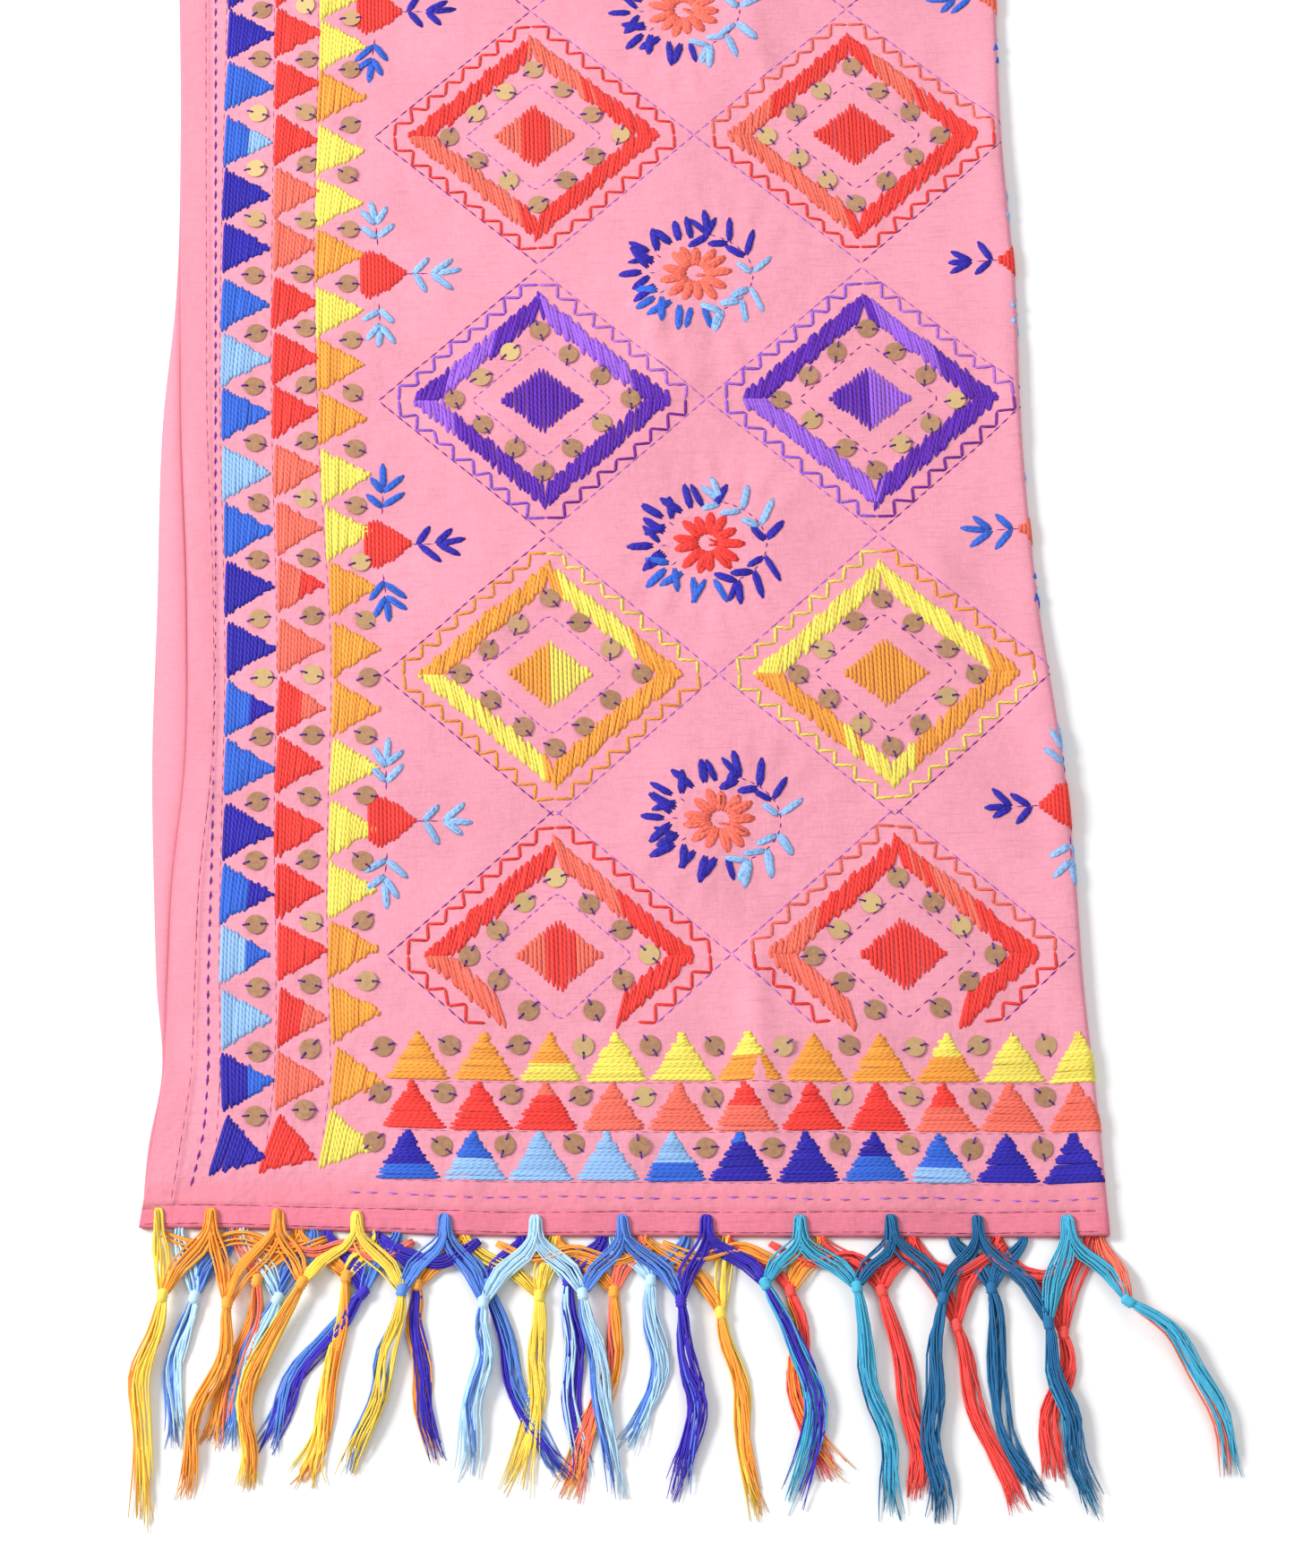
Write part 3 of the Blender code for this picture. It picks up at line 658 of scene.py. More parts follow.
class Graph:
    """Node tree of one material, around its Principled shader."""

    def __init__(self, name):
        self.material = bpy.data.materials.new(name)
        self.material.use_nodes = True
        self.tree = self.material.node_tree
        self.shader = self.tree.nodes["Principled BSDF"]

    def node(self, kind, settings, inputs, output=0):
        """Adds a node, sets its settings and then its sockets, and returns one of its outputs."""
        made = self.tree.nodes.new(kind)
        for key, value in settings.items():
            setattr(made, key, value)
        for key, value in inputs.items():
            self.feed(made.inputs[key], value)
        return Value(self, made.outputs[output])

    def feed(self, socket, value):
        """Links a value to a socket or sets it there as a constant."""
        if isinstance(value, Value):
            self.tree.links.new(value.socket, socket)
        elif isinstance(value, tuple) and socket.type == "RGBA":
            socket.default_value = (*value[:3], 1.0)
        else:
            socket.default_value = value

    def place(self):
        return self.node("ShaderNodeTexCoord", {}, {}, "Object")

    def attribute(self, name):
        return self.node("ShaderNodeAttribute", {"attribute_name": name}, {}, "Fac")

    def noise(self, place, scale, detail=2.0):
        """Noise from 0 to 1, with one scale or with its own along each axis."""
        scales = scale if isinstance(scale, tuple) else (scale, scale, scale)
        mapped = self.node("ShaderNodeMapping", {}, {"Vector": place, "Scale": scales})
        return self.node("ShaderNodeTexNoise", {}, {"Vector": mapped, "Scale": 1.0, "Detail": detail})

    def mix(self, factor, first, second):
        """Colour mix; the factor is clamped from 0 to 1."""
        return self.node("ShaderNodeMix", {"data_type": "RGBA"}, {0: factor, 6: first, 7: second}, 2)

    def bump(self, height, distance, strength=1.0):
        """Relief from a height of 0 to 1, the distance being how high 1 stands."""
        inputs = {"Height": height, "Distance": distance, "Strength": strength}
        normal = self.node("ShaderNodeBump", {}, inputs)
        self.feed(self.shader.inputs["Normal"], normal)

    def finish(self, colour, roughness, **constants):
        """Feeds colour and roughness, sets the other sockets and returns the material."""
        self.feed(self.shader.inputs["Base Color"], colour)
        self.feed(self.shader.inputs["Roughness"], roughness)
        for name, value in constants.items():
            self.feed(self.shader.inputs[name.replace("_", " ")], value)
        return self.material


def shade(colour, factor):
    """The colour made darker or lighter, kept from 0 to 1."""
    return tuple(min(max(c * factor, 0.0), 1.0) for c in colour)


def known_material(name, make, *args):
    """The material of that name, made at its first use."""
    return bpy.data.materials.get(name) or make(name, *args)


def woven(name, colour, deep):
    """Plain-woven cloth: warp and weft, slubs and uneven dye.

    It is deeper in tone where it lies doubled, shadowed beside the free edge, and puckered where it is sewn.
    """
    graph = Graph(name)
    place = graph.place()
    warp = graph.noise(place, (1500.0, 210.0, 1500.0))
    weft = graph.noise(place, (210.0, 1500.0, 210.0))
    slub = graph.noise(place, (60.0, 700.0, 60.0), 1.0)
    dye = graph.noise(place, 17.0, 4.0)
    sewn = graph.attribute("sewn")
    doubled = graph.attribute("doubled")
    crevice_share = graph.attribute("crevice")
    grain = warp * 0.5 + weft * 0.5
    pale = graph.mix((grain - 0.5) * 2.4 + (dye - 0.5) * 1.3 + 0.5, shade(colour, 0.87), shade(colour, 1.10))
    streaked = graph.mix((slub - 0.54) * 2.4, pale, shade(colour, 0.82))
    turned = graph.mix(doubled * (dye * 0.9 + 0.35), streaked, deep)
    shadowed = graph.mix(crevice_share * 0.8, turned, SHADOWED_CLOTH)
    gathers = graph.noise(place, 105.0)
    folds = graph.noise(place, (26.0, 15.0, 26.0))
    graph.bump(grain * 0.3 + slub * 0.2 + gathers * (sewn * 2.4 + 0.5) + folds * 5.0, 0.5 * MM)
    return graph.finish(shadowed, 0.82 + (grain - 0.5) * 0.2, Sheen_Weight=0.08, Sheen_Roughness=0.5,
                        Specular_IOR_Level=0.2)


def strand_material(name, colour, twist, plies, side_shade):
    """Thread or yarn: plies that wind round the strand, with painted shade between them and down its sides.
    """
    graph = Graph(name)
    coordinates = graph.node("ShaderNodeUVMap", {"uv_map": "strand"}, {})
    along = graph.node("ShaderNodeSeparateXYZ", {}, {"Vector": coordinates}, "X")
    around = Value(graph, along.socket.node.outputs["Y"])
    tone = graph.attribute("tone")
    ply = ((around * plies + along * twist) * (2 * np.pi)).sine() * 0.5 + 0.5
    place = graph.place()
    fuzz = graph.noise(place, 900.0)
    # Random tone and fuzz, and painted shade in the grooves between the plies.
    factor = tone * 0.6 + ply * 0.36 + (fuzz - 0.5) * 0.5 + 0.04
    mixed = graph.mix(factor, shade(colour, 0.90), shade(colour, 1.42))
    # Painted shade down the strand's sides, where neighbouring stitches lie against each other.
    side = (around - 0.375).absolute() * 3.4 - 0.4
    side_shaded = graph.mix(side * side_shade, mixed, shade(colour, 0.55))
    graph.bump(ply * 0.8 + fuzz * 0.5, 0.22 * MM)
    return graph.finish(side_shaded, 0.66 - ply * 0.14, Sheen_Weight=0.05, Sheen_Roughness=0.4,
                        Specular_IOR_Level=0.25)


def thread_material(thread):
    name, colour = THREADS[thread]
    return known_material(f"thread_{name}", strand_material, colour, 3.0, 3.0, 0.38)


def yarn_material(yarn):
    return known_material(f"yarn_{yarn}", strand_material, YARNS[yarn], 3.5, 2.0, 0.0)


def seam_material():
    return known_material("seam_thread", strand_material, SEAM_THREAD, 2.0, 2.0, 0.3)


def brass_material(colour):
    """Worn brass: dull patches, fine scratches and a tone for each sequin."""
    graph = Graph("sequin_brass")
    place = graph.place()
    tone = graph.attribute("tone")
    patches = graph.noise(place, 420.0, 4.0)
    scratches = graph.noise(place, (300.0, 5200.0, 300.0))
    worn = graph.mix((patches - 0.5) * 1.6 + 0.5, shade(colour, 0.62), shade(colour, 0.92))
    mixed = graph.mix(tone * 1.5 - 0.5, worn, BRIGHT_BRASS)
    graph.bump(scratches * 0.5 + patches, 0.06 * MM, 0.5)
    return graph.finish(mixed, 0.42 + (patches - 0.5) * 0.3, Metallic=0.35)


def floor_material(colour):
    """Matt pale floor with a barely uneven tone."""
    graph = Graph("studio_floor")
    place = graph.place()
    cloudy = graph.noise(place, 2.0)
    return graph.finish(graph.mix(cloudy, shade(colour, 0.985), colour), 0.9, Specular_IOR_Level=0.1)


# Cloth pieces

def sheet_mesh(name, u, v, outer_lift, inner_lift):
    """Closed wall between two liftings of one grid of cloth coordinates, with a rim along its four edges."""
    outer, inner = on_cloth(u, v, outer_lift), on_cloth(u, v, inner_lift)
    rows, columns = u.shape
    index = np.arange(rows * columns).reshape(rows, columns)
    below = index + index.size

    def strip(a, b):
        """Quads between two rows of indices, facing outwards with a on the outer face and b on the inner."""
        return np.stack([a[:-1], b[:-1], b[1:], a[1:]], axis=-1)

    face = np.stack([index[:-1, :-1], index[:-1, 1:], index[1:, 1:], index[1:, :-1]], axis=-1).reshape(-1, 4)
    quads = np.concatenate([
        face, face[:, ::-1] + index.size,
        strip(index[0], below[0]), strip(index[-1, ::-1], below[-1, ::-1]),
        strip(index[::-1, 0], below[::-1, 0]), strip(index[:, -1], below[:, -1]),
    ])
    points = np.concatenate([outer.reshape(-1, 3), inner.reshape(-1, 3)])
    return polygon_mesh(name, points, quads.ravel(), np.full(len(quads), 4))


# Columns of the cloth's grid: beyond the free edge over the side hem, and beside the line under the free edge
HEM_COLUMNS = np.array([0.0, 0.5, 1.5, 5.0, 10.0, 14.6, 15.2, 15.8, 17.5]) * MM
CREVICE_COLUMNS = np.array([2.6, 1.3, 0.6, 0.0, -0.6, -1.2, -2.0]) * MM

# Rows of an end hem's grid, and how much lower its edges and how high its puffs are
END_HEM_ROWS = np.array([0.0, 0.25, 0.8, 2.0, 4.0, 6.2, 8.4, 10.4, 11.7, 12.25, 12.5]) * MM
END_HEM_DIP = 0.9 * MM
END_HEM_PUFF = 0.18 * MM

# The cloth's own end lies hidden under the end hem
CLOTH_START = END_HEM - 3.5 * MM
FINE_ROWS_END = 0.72


def cloth_columns(v, middle, fold, arc, under):
    """Values of u for each v: fine at the hem, even across the middle, fine at the fold and wide below."""
    top_edge, under_edge, fold_u = outline(v)
    fold_start = fold_u - FOLD_RADIUS
    hem = top_edge + HEM_COLUMNS
    last = fold_start - np.array(fold) * MM
    step = np.linspace(0, 1, middle + 2)[1:-1]
    centre = hem[:, -1:] + (last[:, :1] - hem[:, -1:]) * step
    round_fold = fold_start + FOLD_RADIUS * np.pi * np.linspace(0, 1, arc + 1)[1:]
    reach = fold_start - under_edge
    back = round_fold[:, -1:] + reach * np.linspace(0, 1, under + 1)[1:]
    return np.hstack([hem, centre, last, round_fold, back])


def under_place(u, v):
    """u as seen from above of a place u on the under layer; the same sum turns it back."""
    return 2 * (outline(v)[2] - FOLD_RADIUS) + np.pi * FOLD_RADIUS - u


def crevice_u(v):
    """Place on the under layer, seen from above, of the line beside the top layer's free edge."""
    top_edge, under_edge, _ = outline(v)
    return np.maximum(top_edge, under_edge + 2.5 * MM)


def crevice(u, v):
    """Shadow where the free edge lies on the under layer, as a share: dark in the gap, fading at the ends."""
    top_edge, under_edge, _ = outline(v)
    bared = np.clip((top_edge - under_edge - 2 * MM) / (5 * MM), 0, 1) * (0.8 + 0.2 * np.sin(23 * v))
    gap = np.exp(-((under_place(u, v) - crevice_u(v) + 0.3 * MM) / (1.0 * MM)) ** 2)
    edge = 0.55 * np.exp(-((u - top_edge) / (0.6 * MM)) ** 2)
    return bared * np.maximum(gap, edge)


def end_lift(u, v, far):
    """Outer lift of an end hem: its rise, rounded off at both edges, with small puffs between stitches."""
    t = np.clip(from_end(v, far) / END_HEM, 0, 1)
    rounding = 1 - (2 * t - 1) ** 6
    fold_start = outline(v)[2] - FOLD_RADIUS
    top_side = (1 + np.cos(np.clip((u - fold_start) / FOLD_RADIUS, 0, np.pi))) / 2
    puffs = END_HEM_PUFF * np.sin(u / (5.2 * MM)) * np.sin(u / (17 * MM) + 1.0)
    return top_side * (END_HEM_RISE + puffs) * rounding - END_HEM_DIP * (1 - rounding) ** 2 * top_side


def sewn_share(u, v):
    """How much the cloth puckers beside embroidery: bells over the borders, diamonds and flowers."""
    border = np.exp(-((u - 0.075) / 0.050) ** 2)
    ends = np.exp(-(np.minimum(v, LENGTH - v) / 0.085) ** 2)
    dv = nearest_offset(v, LATTICE_V)
    ring = np.zeros_like(u)
    for centre in LATTICE_U:
        size = np.abs(u - centre) / HALF_WIDTH + np.abs(dv) / HALF_PITCH
        ring = np.maximum(ring, np.exp(-((size - 0.72) / 0.16) ** 2))
    flower = np.exp(-(np.hypot(u - LATTICE_MIDDLE, nearest_offset(v, FLOWER_V)) / 0.040) ** 2)
    return np.clip(np.maximum.reduce([border, ends, ring, flower]), 0, 1)


def doubled_share(u, v, rise):
    """How much the cloth shows the deeper tone of doubled cloth: at the side hems and at both ends."""
    ends = np.clip((30 * MM - np.minimum(v, LENGTH - v)) / (12 * MM), 0, 1) * 0.85
    from_under_edge = under_place(u, v) - outline(v)[1]
    under_hem = np.clip((40 * MM - from_under_edge) / (20 * MM), 0, 1) * 0.5
    return np.maximum.reduce([rise / SIDE_HEM_RISE * 0.4, ends, under_hem])


class SHAWL_OT_end_hems(bpy.types.Operator):
    """Make the two end hems, turned twice and a little deeper in colour than the cloth"""
    bl_idname = "shawl.end_hems"
    bl_label = "End Hems"

    def execute(self, context):
        colour = tuple(context.scene.shawl_colours.hem)
        material = known_material("end_hem_cloth", woven, colour, shade(colour, 0.9))
        for end, far in ENDS:
            v = np.sort(from_end(END_HEM_ROWS, far))[:, None]
            u = cloth_columns(v, 190, (24, 18, 12, 8, 4, 0), 10, 40)
            v = np.broadcast_to(v, u.shape)
            lift = end_lift(u, v, far)
            mesh = sheet_mesh(f"end_hem_{end}", u, v, lift, END_HEM_RISE - END_HEM_WALL)
            set_attribute(mesh, "sewn", np.full(2 * u.size, 0.5))
            set_attribute(mesh, "doubled", np.zeros(2 * u.size))
            add_piece(f"end_hem_{end}", mesh, [material], [f"end_band_{end}"])
        return {"FINISHED"}


class SHAWL_OT_cloth(bpy.types.Operator):
    bl_idname = "shawl.cloth"
    bl_label = "Cloth Panel"

    def execute(self, context):
        close = np.arange(CLOTH_START, FINE_ROWS_END, 5.0 * MM)
        wide = np.linspace(close[-1], LENGTH - CLOTH_START, 122)[1:]
        v = np.concatenate([close, wide])[:, None]
        u = cloth_columns(v, 104, (24, 19, 14, 10, 6, 3, 0), 8, 22)
        u = np.sort(np.hstack([u, under_place(crevice_u(v) + CREVICE_COLUMNS, v)]), axis=1)
        v = np.broadcast_to(v, u.shape)
        rise = side_rise(u, v)
        mesh = sheet_mesh("shawl_cloth", u, v, rise, -WALL)
        shares = {"sewn": sewn_share(u, v), "doubled": doubled_share(u, v, rise), "crevice": crevice(u, v)}
        for share, values in shares.items():
            set_attribute(mesh, share, np.tile(values.ravel(), 2))
        colour = tuple(context.scene.shawl_colours.cloth)
        material = known_material("cloth_pink", woven, colour, DOUBLED_CLOTH)
        cloth = add_piece("shawl_cloth", mesh, [material], ["shawl_panel"])
        return {"FINISHED"}


# Embroidery

def tones_of(code, count):
    """The thread letter of each of count stitches, from a code of one or two letters."""
    return np.array([code[min(int(i * len(code) / count), len(code) - 1)] for i in range(count)])


def triangle(work, base, out, depth, code, rows, form=SATIN_FORM):
    """Satin triangle of slightly slanting stitches along its base, shorter to the tip, with jagged ends."""
    out = np.array(out, float)
    out /= np.linalg.norm(out)
    along = np.array([-out[1], out[0]])
    along *= np.sign(along.sum())
    share = (np.arange(rows) + 0.5) / rows
    half = HALF_BASE * (1 - share * 0.95)
    jag = work.random.uniform(-1.0, 1.0, (2, rows)) * MM
    in_column = abs(out[0]) > abs(out[1])
    slant = work.random.uniform(*((0.07, 0.19) if in_column else (-0.06, 0.06)))
    lean = slant * (half * (0.25 + share))[:, None] * out
    centre = np.array(base) + share[:, None] * depth * out
    starts = centre - (half + jag[0])[:, None] * along - lean
    ends = centre + (half + jag[1])[:, None] * along + lean
    starts += work.random.uniform(-0.5, 0.5, (rows, 1)) * MM * out
    width = depth / rows * work.random.uniform(1.30, 1.55, rows)
    height = bpy.context.scene.shawl_sizes.satin_height * work.random.uniform(0.90, 1.05, rows)
    work.add_each(tones_of(code, rows), starts, ends, width, height, form)


def column_places(base, first, count):
    """Base u, centre v and outward direction of each triangle of one long column along its base line."""
    v = np.linspace(first, LENGTH - first, count)
    between = np.arange(1, count - 1)
    v[1:-1] += 1.6 * MM * np.sin(5.1 * between) * np.sin(0.9 * between)
    u = smooth_curve(v, base[:, 0], base[:, 1])
    ends = [smooth_curve(v + step, base[:, 0], base[:, 1]) for step in (-9 * MM, 9 * MM)]
    slope = (ends[1] - ends[0]) / (18 * MM)
    return u, v, pairs(np.ones(count), -slope)


def row_places(first, base_v, far):
    """Centre u and base v of each triangle of one end row."""
    u = first + ROW_PITCH * np.arange(ROW_COUNT)
    v = base_v + ROW_SLOPE * (u - first)
    return u, from_end(v, far)


class SHAWL_OT_triangles(bpy.types.Operator):
    """Embroider the three long columns of triangles and the three rows at each end"""
    bl_idname = "shawl.triangles"
    bl_label = "Border Triangles"

    def execute(self, context):
        rows = context.scene.shawl_sizes.satin_rows
        work = Embroidery("triangles", 11)
        for base, depth, first, count, tones in COLUMNS:
            codes = tones.split()
            for i, (u, v, out) in enumerate(zip(*column_places(base, first, count))):
                sized = depth * work.random.uniform(0.95, 1.04)
                triangle(work, (u, v), out, sized, codes[i % len(codes)], rows)
        for first, base_v, depth, tones in ROWS:
            codes = tones.split()
            for _, far in ENDS:
                for i, (u, v) in enumerate(zip(*row_places(first, base_v, far))):
                    form = FOLD_FORM if i == ROW_COUNT - 1 else SATIN_FORM
                    triangle(work, (u, v), (0, -1 if far else 1), depth, codes[i], rows, form)
        work.make()
        return {"FINISHED"}


# Corners of a diamond, and the sizes of its parts as shares of the lattice diamond
CORNERS = np.array([(-1, 0), (0, 1), (1, 0), (0, -1), (-1, 0)], float)
RING_MIDDLE = 0.715
RING_HALF = 0.093
ZIGZAG_SHARE = 0.875
ZIGZAG_STEPS = 8
SEQUIN_SHARE = 0.535
INNER_LINE_SHARE = 0.43
CENTRE_SHARE = 0.25
CENTRE_STITCHES = 20


def keep_inside(starts, ends, *others):
    """Leaves out stitches that would run into the end rows."""
    low = np.minimum(starts[:, 1], ends[:, 1]) > BORDER_END
    keep = low & (np.maximum(starts[:, 1], ends[:, 1]) < LENGTH - BORDER_END)
    return [a[keep] for a in (starts, ends, *others)]


def diamond_point(centre, turn, share):
    """Point on the diamond of that share of the lattice, turn being 0 to 4 round it from the left corner."""
    side = np.clip(np.floor(turn), 0, 3).astype(int)
    along = (turn - side)[:, None]
    corner = CORNERS[side] * (1 - along) + CORNERS[side + 1] * along
    return np.array(centre) + corner * np.reshape(share, (-1, 1)) * np.array([HALF_WIDTH, HALF_PITCH])


def satin_ring(work, centre, tones, per_side, height):
    """Ring of steep satin stitches in a band round the diamond.

    In each quarter a stitch runs along (-sin(lean), cos(lean)) through the band's middle line, from the inner
    to the outer line, and stops where it would cross the diamond's axes.
    """
    count = 4 * per_side
    side = np.repeat(np.arange(4), per_side)
    up = np.tile((np.arange(per_side) + 0.5) / per_side * 1.115 - 0.115, 4)
    up += work.random.uniform(-0.18, 0.18, count) / per_side
    turn = side + np.clip(np.where(side % 2 == 0, up, 1 - up), 0, 1)
    middle = RING_MIDDLE * pairs(HALF_WIDTH * (1 - up), HALF_PITCH * up)
    quarter = np.array([(-1, 1), (1, 1), (1, -1), (-1, -1)])[side]
    lean = np.radians(work.random.uniform(4, 13, count) + np.repeat(work.random.uniform(-3, 8, 4), per_side))
    aim = pairs(-np.sin(lean), np.cos(lean))
    rate = aim[:, 0] / HALF_WIDTH + aim[:, 1] / HALF_PITCH
    jag = work.random.uniform(-0.020, 0.020, (2, count))
    inwards = np.maximum((-RING_HALF + jag[0]) / rate, (-1.0 * MM - middle[:, 1]) / aim[:, 1])
    outwards = np.minimum((RING_HALF + jag[1]) / rate, (-1.2 * MM - middle[:, 0]) / aim[:, 0])
    inner = np.array(centre) + quarter * (middle + inwards[:, None] * aim)
    outer = np.array(centre) + quarter * (middle + outwards[:, None] * aim)
    limits = [limit for limit, _ in tones]
    mixed = turn + work.random.uniform(-0.09, 0.09, count)
    threads = np.array([tones[max(np.searchsorted(limits, at, "right") - 1, 0)][1] for at in mixed])
    width = 2.3 * MM * work.random.uniform(0.9, 1.2, count)
    tall = height * work.random.uniform(0.8, 1.15, count)
    inner, outer, width, tall, threads = keep_inside(inner, outer, width, tall, threads)
    work.add_each(threads, inner, outer, width, tall, RING_FORM)


def zigzag(work, centre, threads, width):
    """Stair-step thread outside the ring: as many level as upright stitches on each side of the diamond."""
    size = np.array([HALF_WIDTH, HALF_PITCH]) * ZIGZAG_SHARE
    for side, thread in enumerate(threads):
        first, last = CORNERS[side] * size, CORNERS[side + 1] * size
        steps = np.linspace(0, 1, ZIGZAG_STEPS + 1)[:, None]
        inner = first + (last - first) * steps
        level = abs(first[1]) > abs(first[0])
        corner = np.where([level, not level], inner[1:], inner[:-1])
        corner += work.random.uniform(-0.9, 0.9, corner.shape) * MM
        inner[1:-1] += work.random.uniform(-0.8, 0.8, inner[1:-1].shape) * MM
        starts = np.concatenate([inner[:-1], corner]) + centre
        ends = np.concatenate([corner, inner[1:]]) + centre
        starts, ends = keep_inside(starts, ends)
        work.add(thread, starts, ends, width, width * 0.5, RING_FORM, THREAD_SECTION)


def centre_diamond(work, centre, threads, height):
    """Solid centre of upright satin stitches with jagged ends."""
    count = CENTRE_STITCHES
    share = (np.arange(count) + 0.5) / count * 2 - 1
    u = centre[0] + share * CENTRE_SHARE * HALF_WIDTH
    half = (1 - np.abs(share) * 0.96) * CENTRE_SHARE * HALF_PITCH
    jag = work.random.uniform(-0.9, 0.9, (3, count)) * MM
    starts = pairs(u + jag[2] * 0.4, centre[1] - half - jag[0])
    ends = pairs(u, centre[1] + half + jag[1])
    width = 2 * CENTRE_SHARE * HALF_WIDTH / count * work.random.uniform(0.95, 1.2, count)
    work.add_each(tones_of(threads, count), starts, ends, width, height)


def each_diamond():
    """Centre, kind and column of every diamond of the lattice."""
    for row, v in enumerate(LATTICE_V):
        for column, u in enumerate(LATTICE_U):
            yield (u, v), row % 3, column


class SHAWL_OT_diamonds(bpy.types.Operator):
    """Embroider the two columns of diamonds with their rings, zigzags and centres"""
    bl_idname = "shawl.diamonds"
    bl_label = "Diamonds"

    def execute(self, context):
        sizes = context.scene.shawl_sizes
        work = Embroidery("diamonds", 23)
        for centre, kind, column in each_diamond():
            tones, steps, _, middle = DIAMONDS[kind, column]
            satin_ring(work, centre, tones, sizes.ring_stitches, sizes.satin_height * 1.05)
            zigzag(work, centre, steps, sizes.thread)
            centre_diamond(work, centre, middle, sizes.satin_height)
        work.make()
        return {"FINISHED"}


LEAF_WIDTH = 5.0 * MM
LEAF_HEIGHT = 0.85 * MM
PETAL_COUNT = 13

# Wreath: radius and flatness of its stem's arc, and half of that arc in degrees; then the degrees where the
# fans and the lone leaves stand, with the half axes in millimetres of the ellipses that they start on, and
# the degrees up to which they have the left side's thread
STEM_RADIUS = 30.5 * MM
STEM_FLATNESS = 0.78
STEM_SWING = 68
FAN_PLACES = (146, 181, 216)
FAN_ELLIPSE = np.array([24.5, 20.0])
LONE_PLACES = np.array([80, 94, 108, 122, 163, 199, 235, 249, 263, 277])
LONE_ELLIPSE = np.array([23.0, 20.5])
LEFT_UNTIL = 200

# Half flowers: their u beside the triangle columns and beside the fold, and how far on along v the latter
# lie; then their stitches' half lengths as shares of the longest, that one, and their spacing in millimetres
HALF_FLOWER_U = 0.1175
FOLD_FLOWER_U = 0.4610
FOLD_FLOWER_SHIFT = 0.006
HALF_FLOWER_REACH = np.array([0.80, 0.97, 1.0, 0.96, 0.92, 0.84, 0.74, 0.66, 0.54, 0.42, 0.26, 0.13])
HALF_FLOWER_SIZE = 14.0 * MM
HALF_FLOWER_STEP = 2.0


def leaves(work, thread, places, angles, length, width, height):
    """Plump leaves or petals: two tapered stitches side by side that nearly meet at both tips."""
    aim = directions(angles)
    across = pairs(-aim[:, 1], aim[:, 0])
    length = np.broadcast_to(length, len(places))[:, None]
    width = np.broadcast_to(width, len(places))
    for side in (-0.15, 0.15):
        shift = across * side * width[:, None]
        work.add(thread, places + shift, places + aim * length + shift * 0.6, width * 0.70, height, LEAF_FORM)


def spray(work, thread, place, angle, stem, length):
    """Stem of purple stitches with two pairs of leaves on it and one leaf at its tip."""
    aim = np.array([np.cos(angle), np.sin(angle)])
    at = np.array([0.25, 0.25, 0.85, 0.85, 1.0])
    turns = angle + np.array([-0.85, 0.85, -0.68, 0.68, 0.0]) + work.random.uniform(-0.22, 0.22, 5)
    places = np.array(place) + (at[:, None] * stem + work.random.uniform(0, 1.6 * MM, (5, 1))) * aim
    lengths = length * work.random.uniform(0.82, 1.15, 5)
    leaves(work, thread, places, turns, lengths, 4.2 * MM, LEAF_HEIGHT)
    along = np.array([0.0, 0.36, 0.42, 0.80])[:, None] * stem * aim + np.array(place)
    work.add_line("p", along[0::2], along[1::2], 0.9 * MM, 0.5 * MM)


def leaf_group(work, letters, places, angles, lengths):
    """Leaves in the thread of each one's letter."""
    widths = LEAF_WIDTH * work.random.uniform(0.74, 1.08, len(letters))
    for thread in sorted(set(letters)):
        pick = letters == thread
        leaves(work, thread, places[pick], angles[pick], lengths[pick], widths[pick], LEAF_HEIGHT)


def petals(work, thread, middle):
    """Uneven petals round an open middle, longer across the cloth, with two loose stitches in the middle."""
    count = PETAL_COUNT
    angles = 2 * np.pi * (np.arange(count) + work.random.uniform(-0.2, 0.2, count)) / count
    aim = directions(angles)
    lengths = (11.0 + 3.2 * np.abs(aim[:, 0]) + work.random.uniform(-1.2, 2.0, count)) * MM
    leaves(work, thread, middle + aim * 4.4 * MM, angles, lengths, 6.0 * MM, 0.8 * MM)
    loose = middle + work.random.uniform(-2.5, 2.5, (2, 2)) * MM
    leaves(work, thread, loose, work.random.uniform(-0.5, 0.5, 2), 5.0 * MM, 1.8 * MM, 0.5 * MM)


def stem_places(middle, swing):
    """Points of a wreath's stem: radius * (cos, flatness * sin) round the middle."""
    return middle + STEM_RADIUS * pairs(np.cos(swing), STEM_FLATNESS * np.sin(swing))


def wreath_stem(work, middle, above, below):
    """Curved stem of running stitches with seven pairs of leaves and one more leaf at each of its ends."""
    swing = np.radians(np.linspace(-STEM_SWING, STEM_SWING, 7) + work.random.uniform(-3, 3, 7) + 4.0)
    stem = stem_places(middle, swing)
    outwards = swing + 0.62 * np.sign(swing) + work.random.uniform(-0.2, 0.2, 7)
    inwards = swing + np.pi - 0.85 * np.sign(swing) + work.random.uniform(-0.2, 0.2, 7)
    side = np.where(swing > 0.2, above, below)
    leaf_group(work, side, stem, outwards, work.random.uniform(13.5, 17.0, 7) * MM)
    leaf_group(work, side, stem - 0.8 * MM, inwards, work.random.uniform(10.0, 12.5, 7) * MM)
    leaf_group(work, side[[0, 6]], stem[[0, 6]], swing[[0, 6]] * 1.85, np.array([13.0, 14.0]) * MM)
    line = stem_places(middle, np.linspace(swing[0], swing[-1], 40))
    starts, ends = line_dashes(line, 3.4 * MM, 1.2 * MM, work.random)
    work.add_line("p", starts, ends, 1.0 * MM, 0.5 * MM)


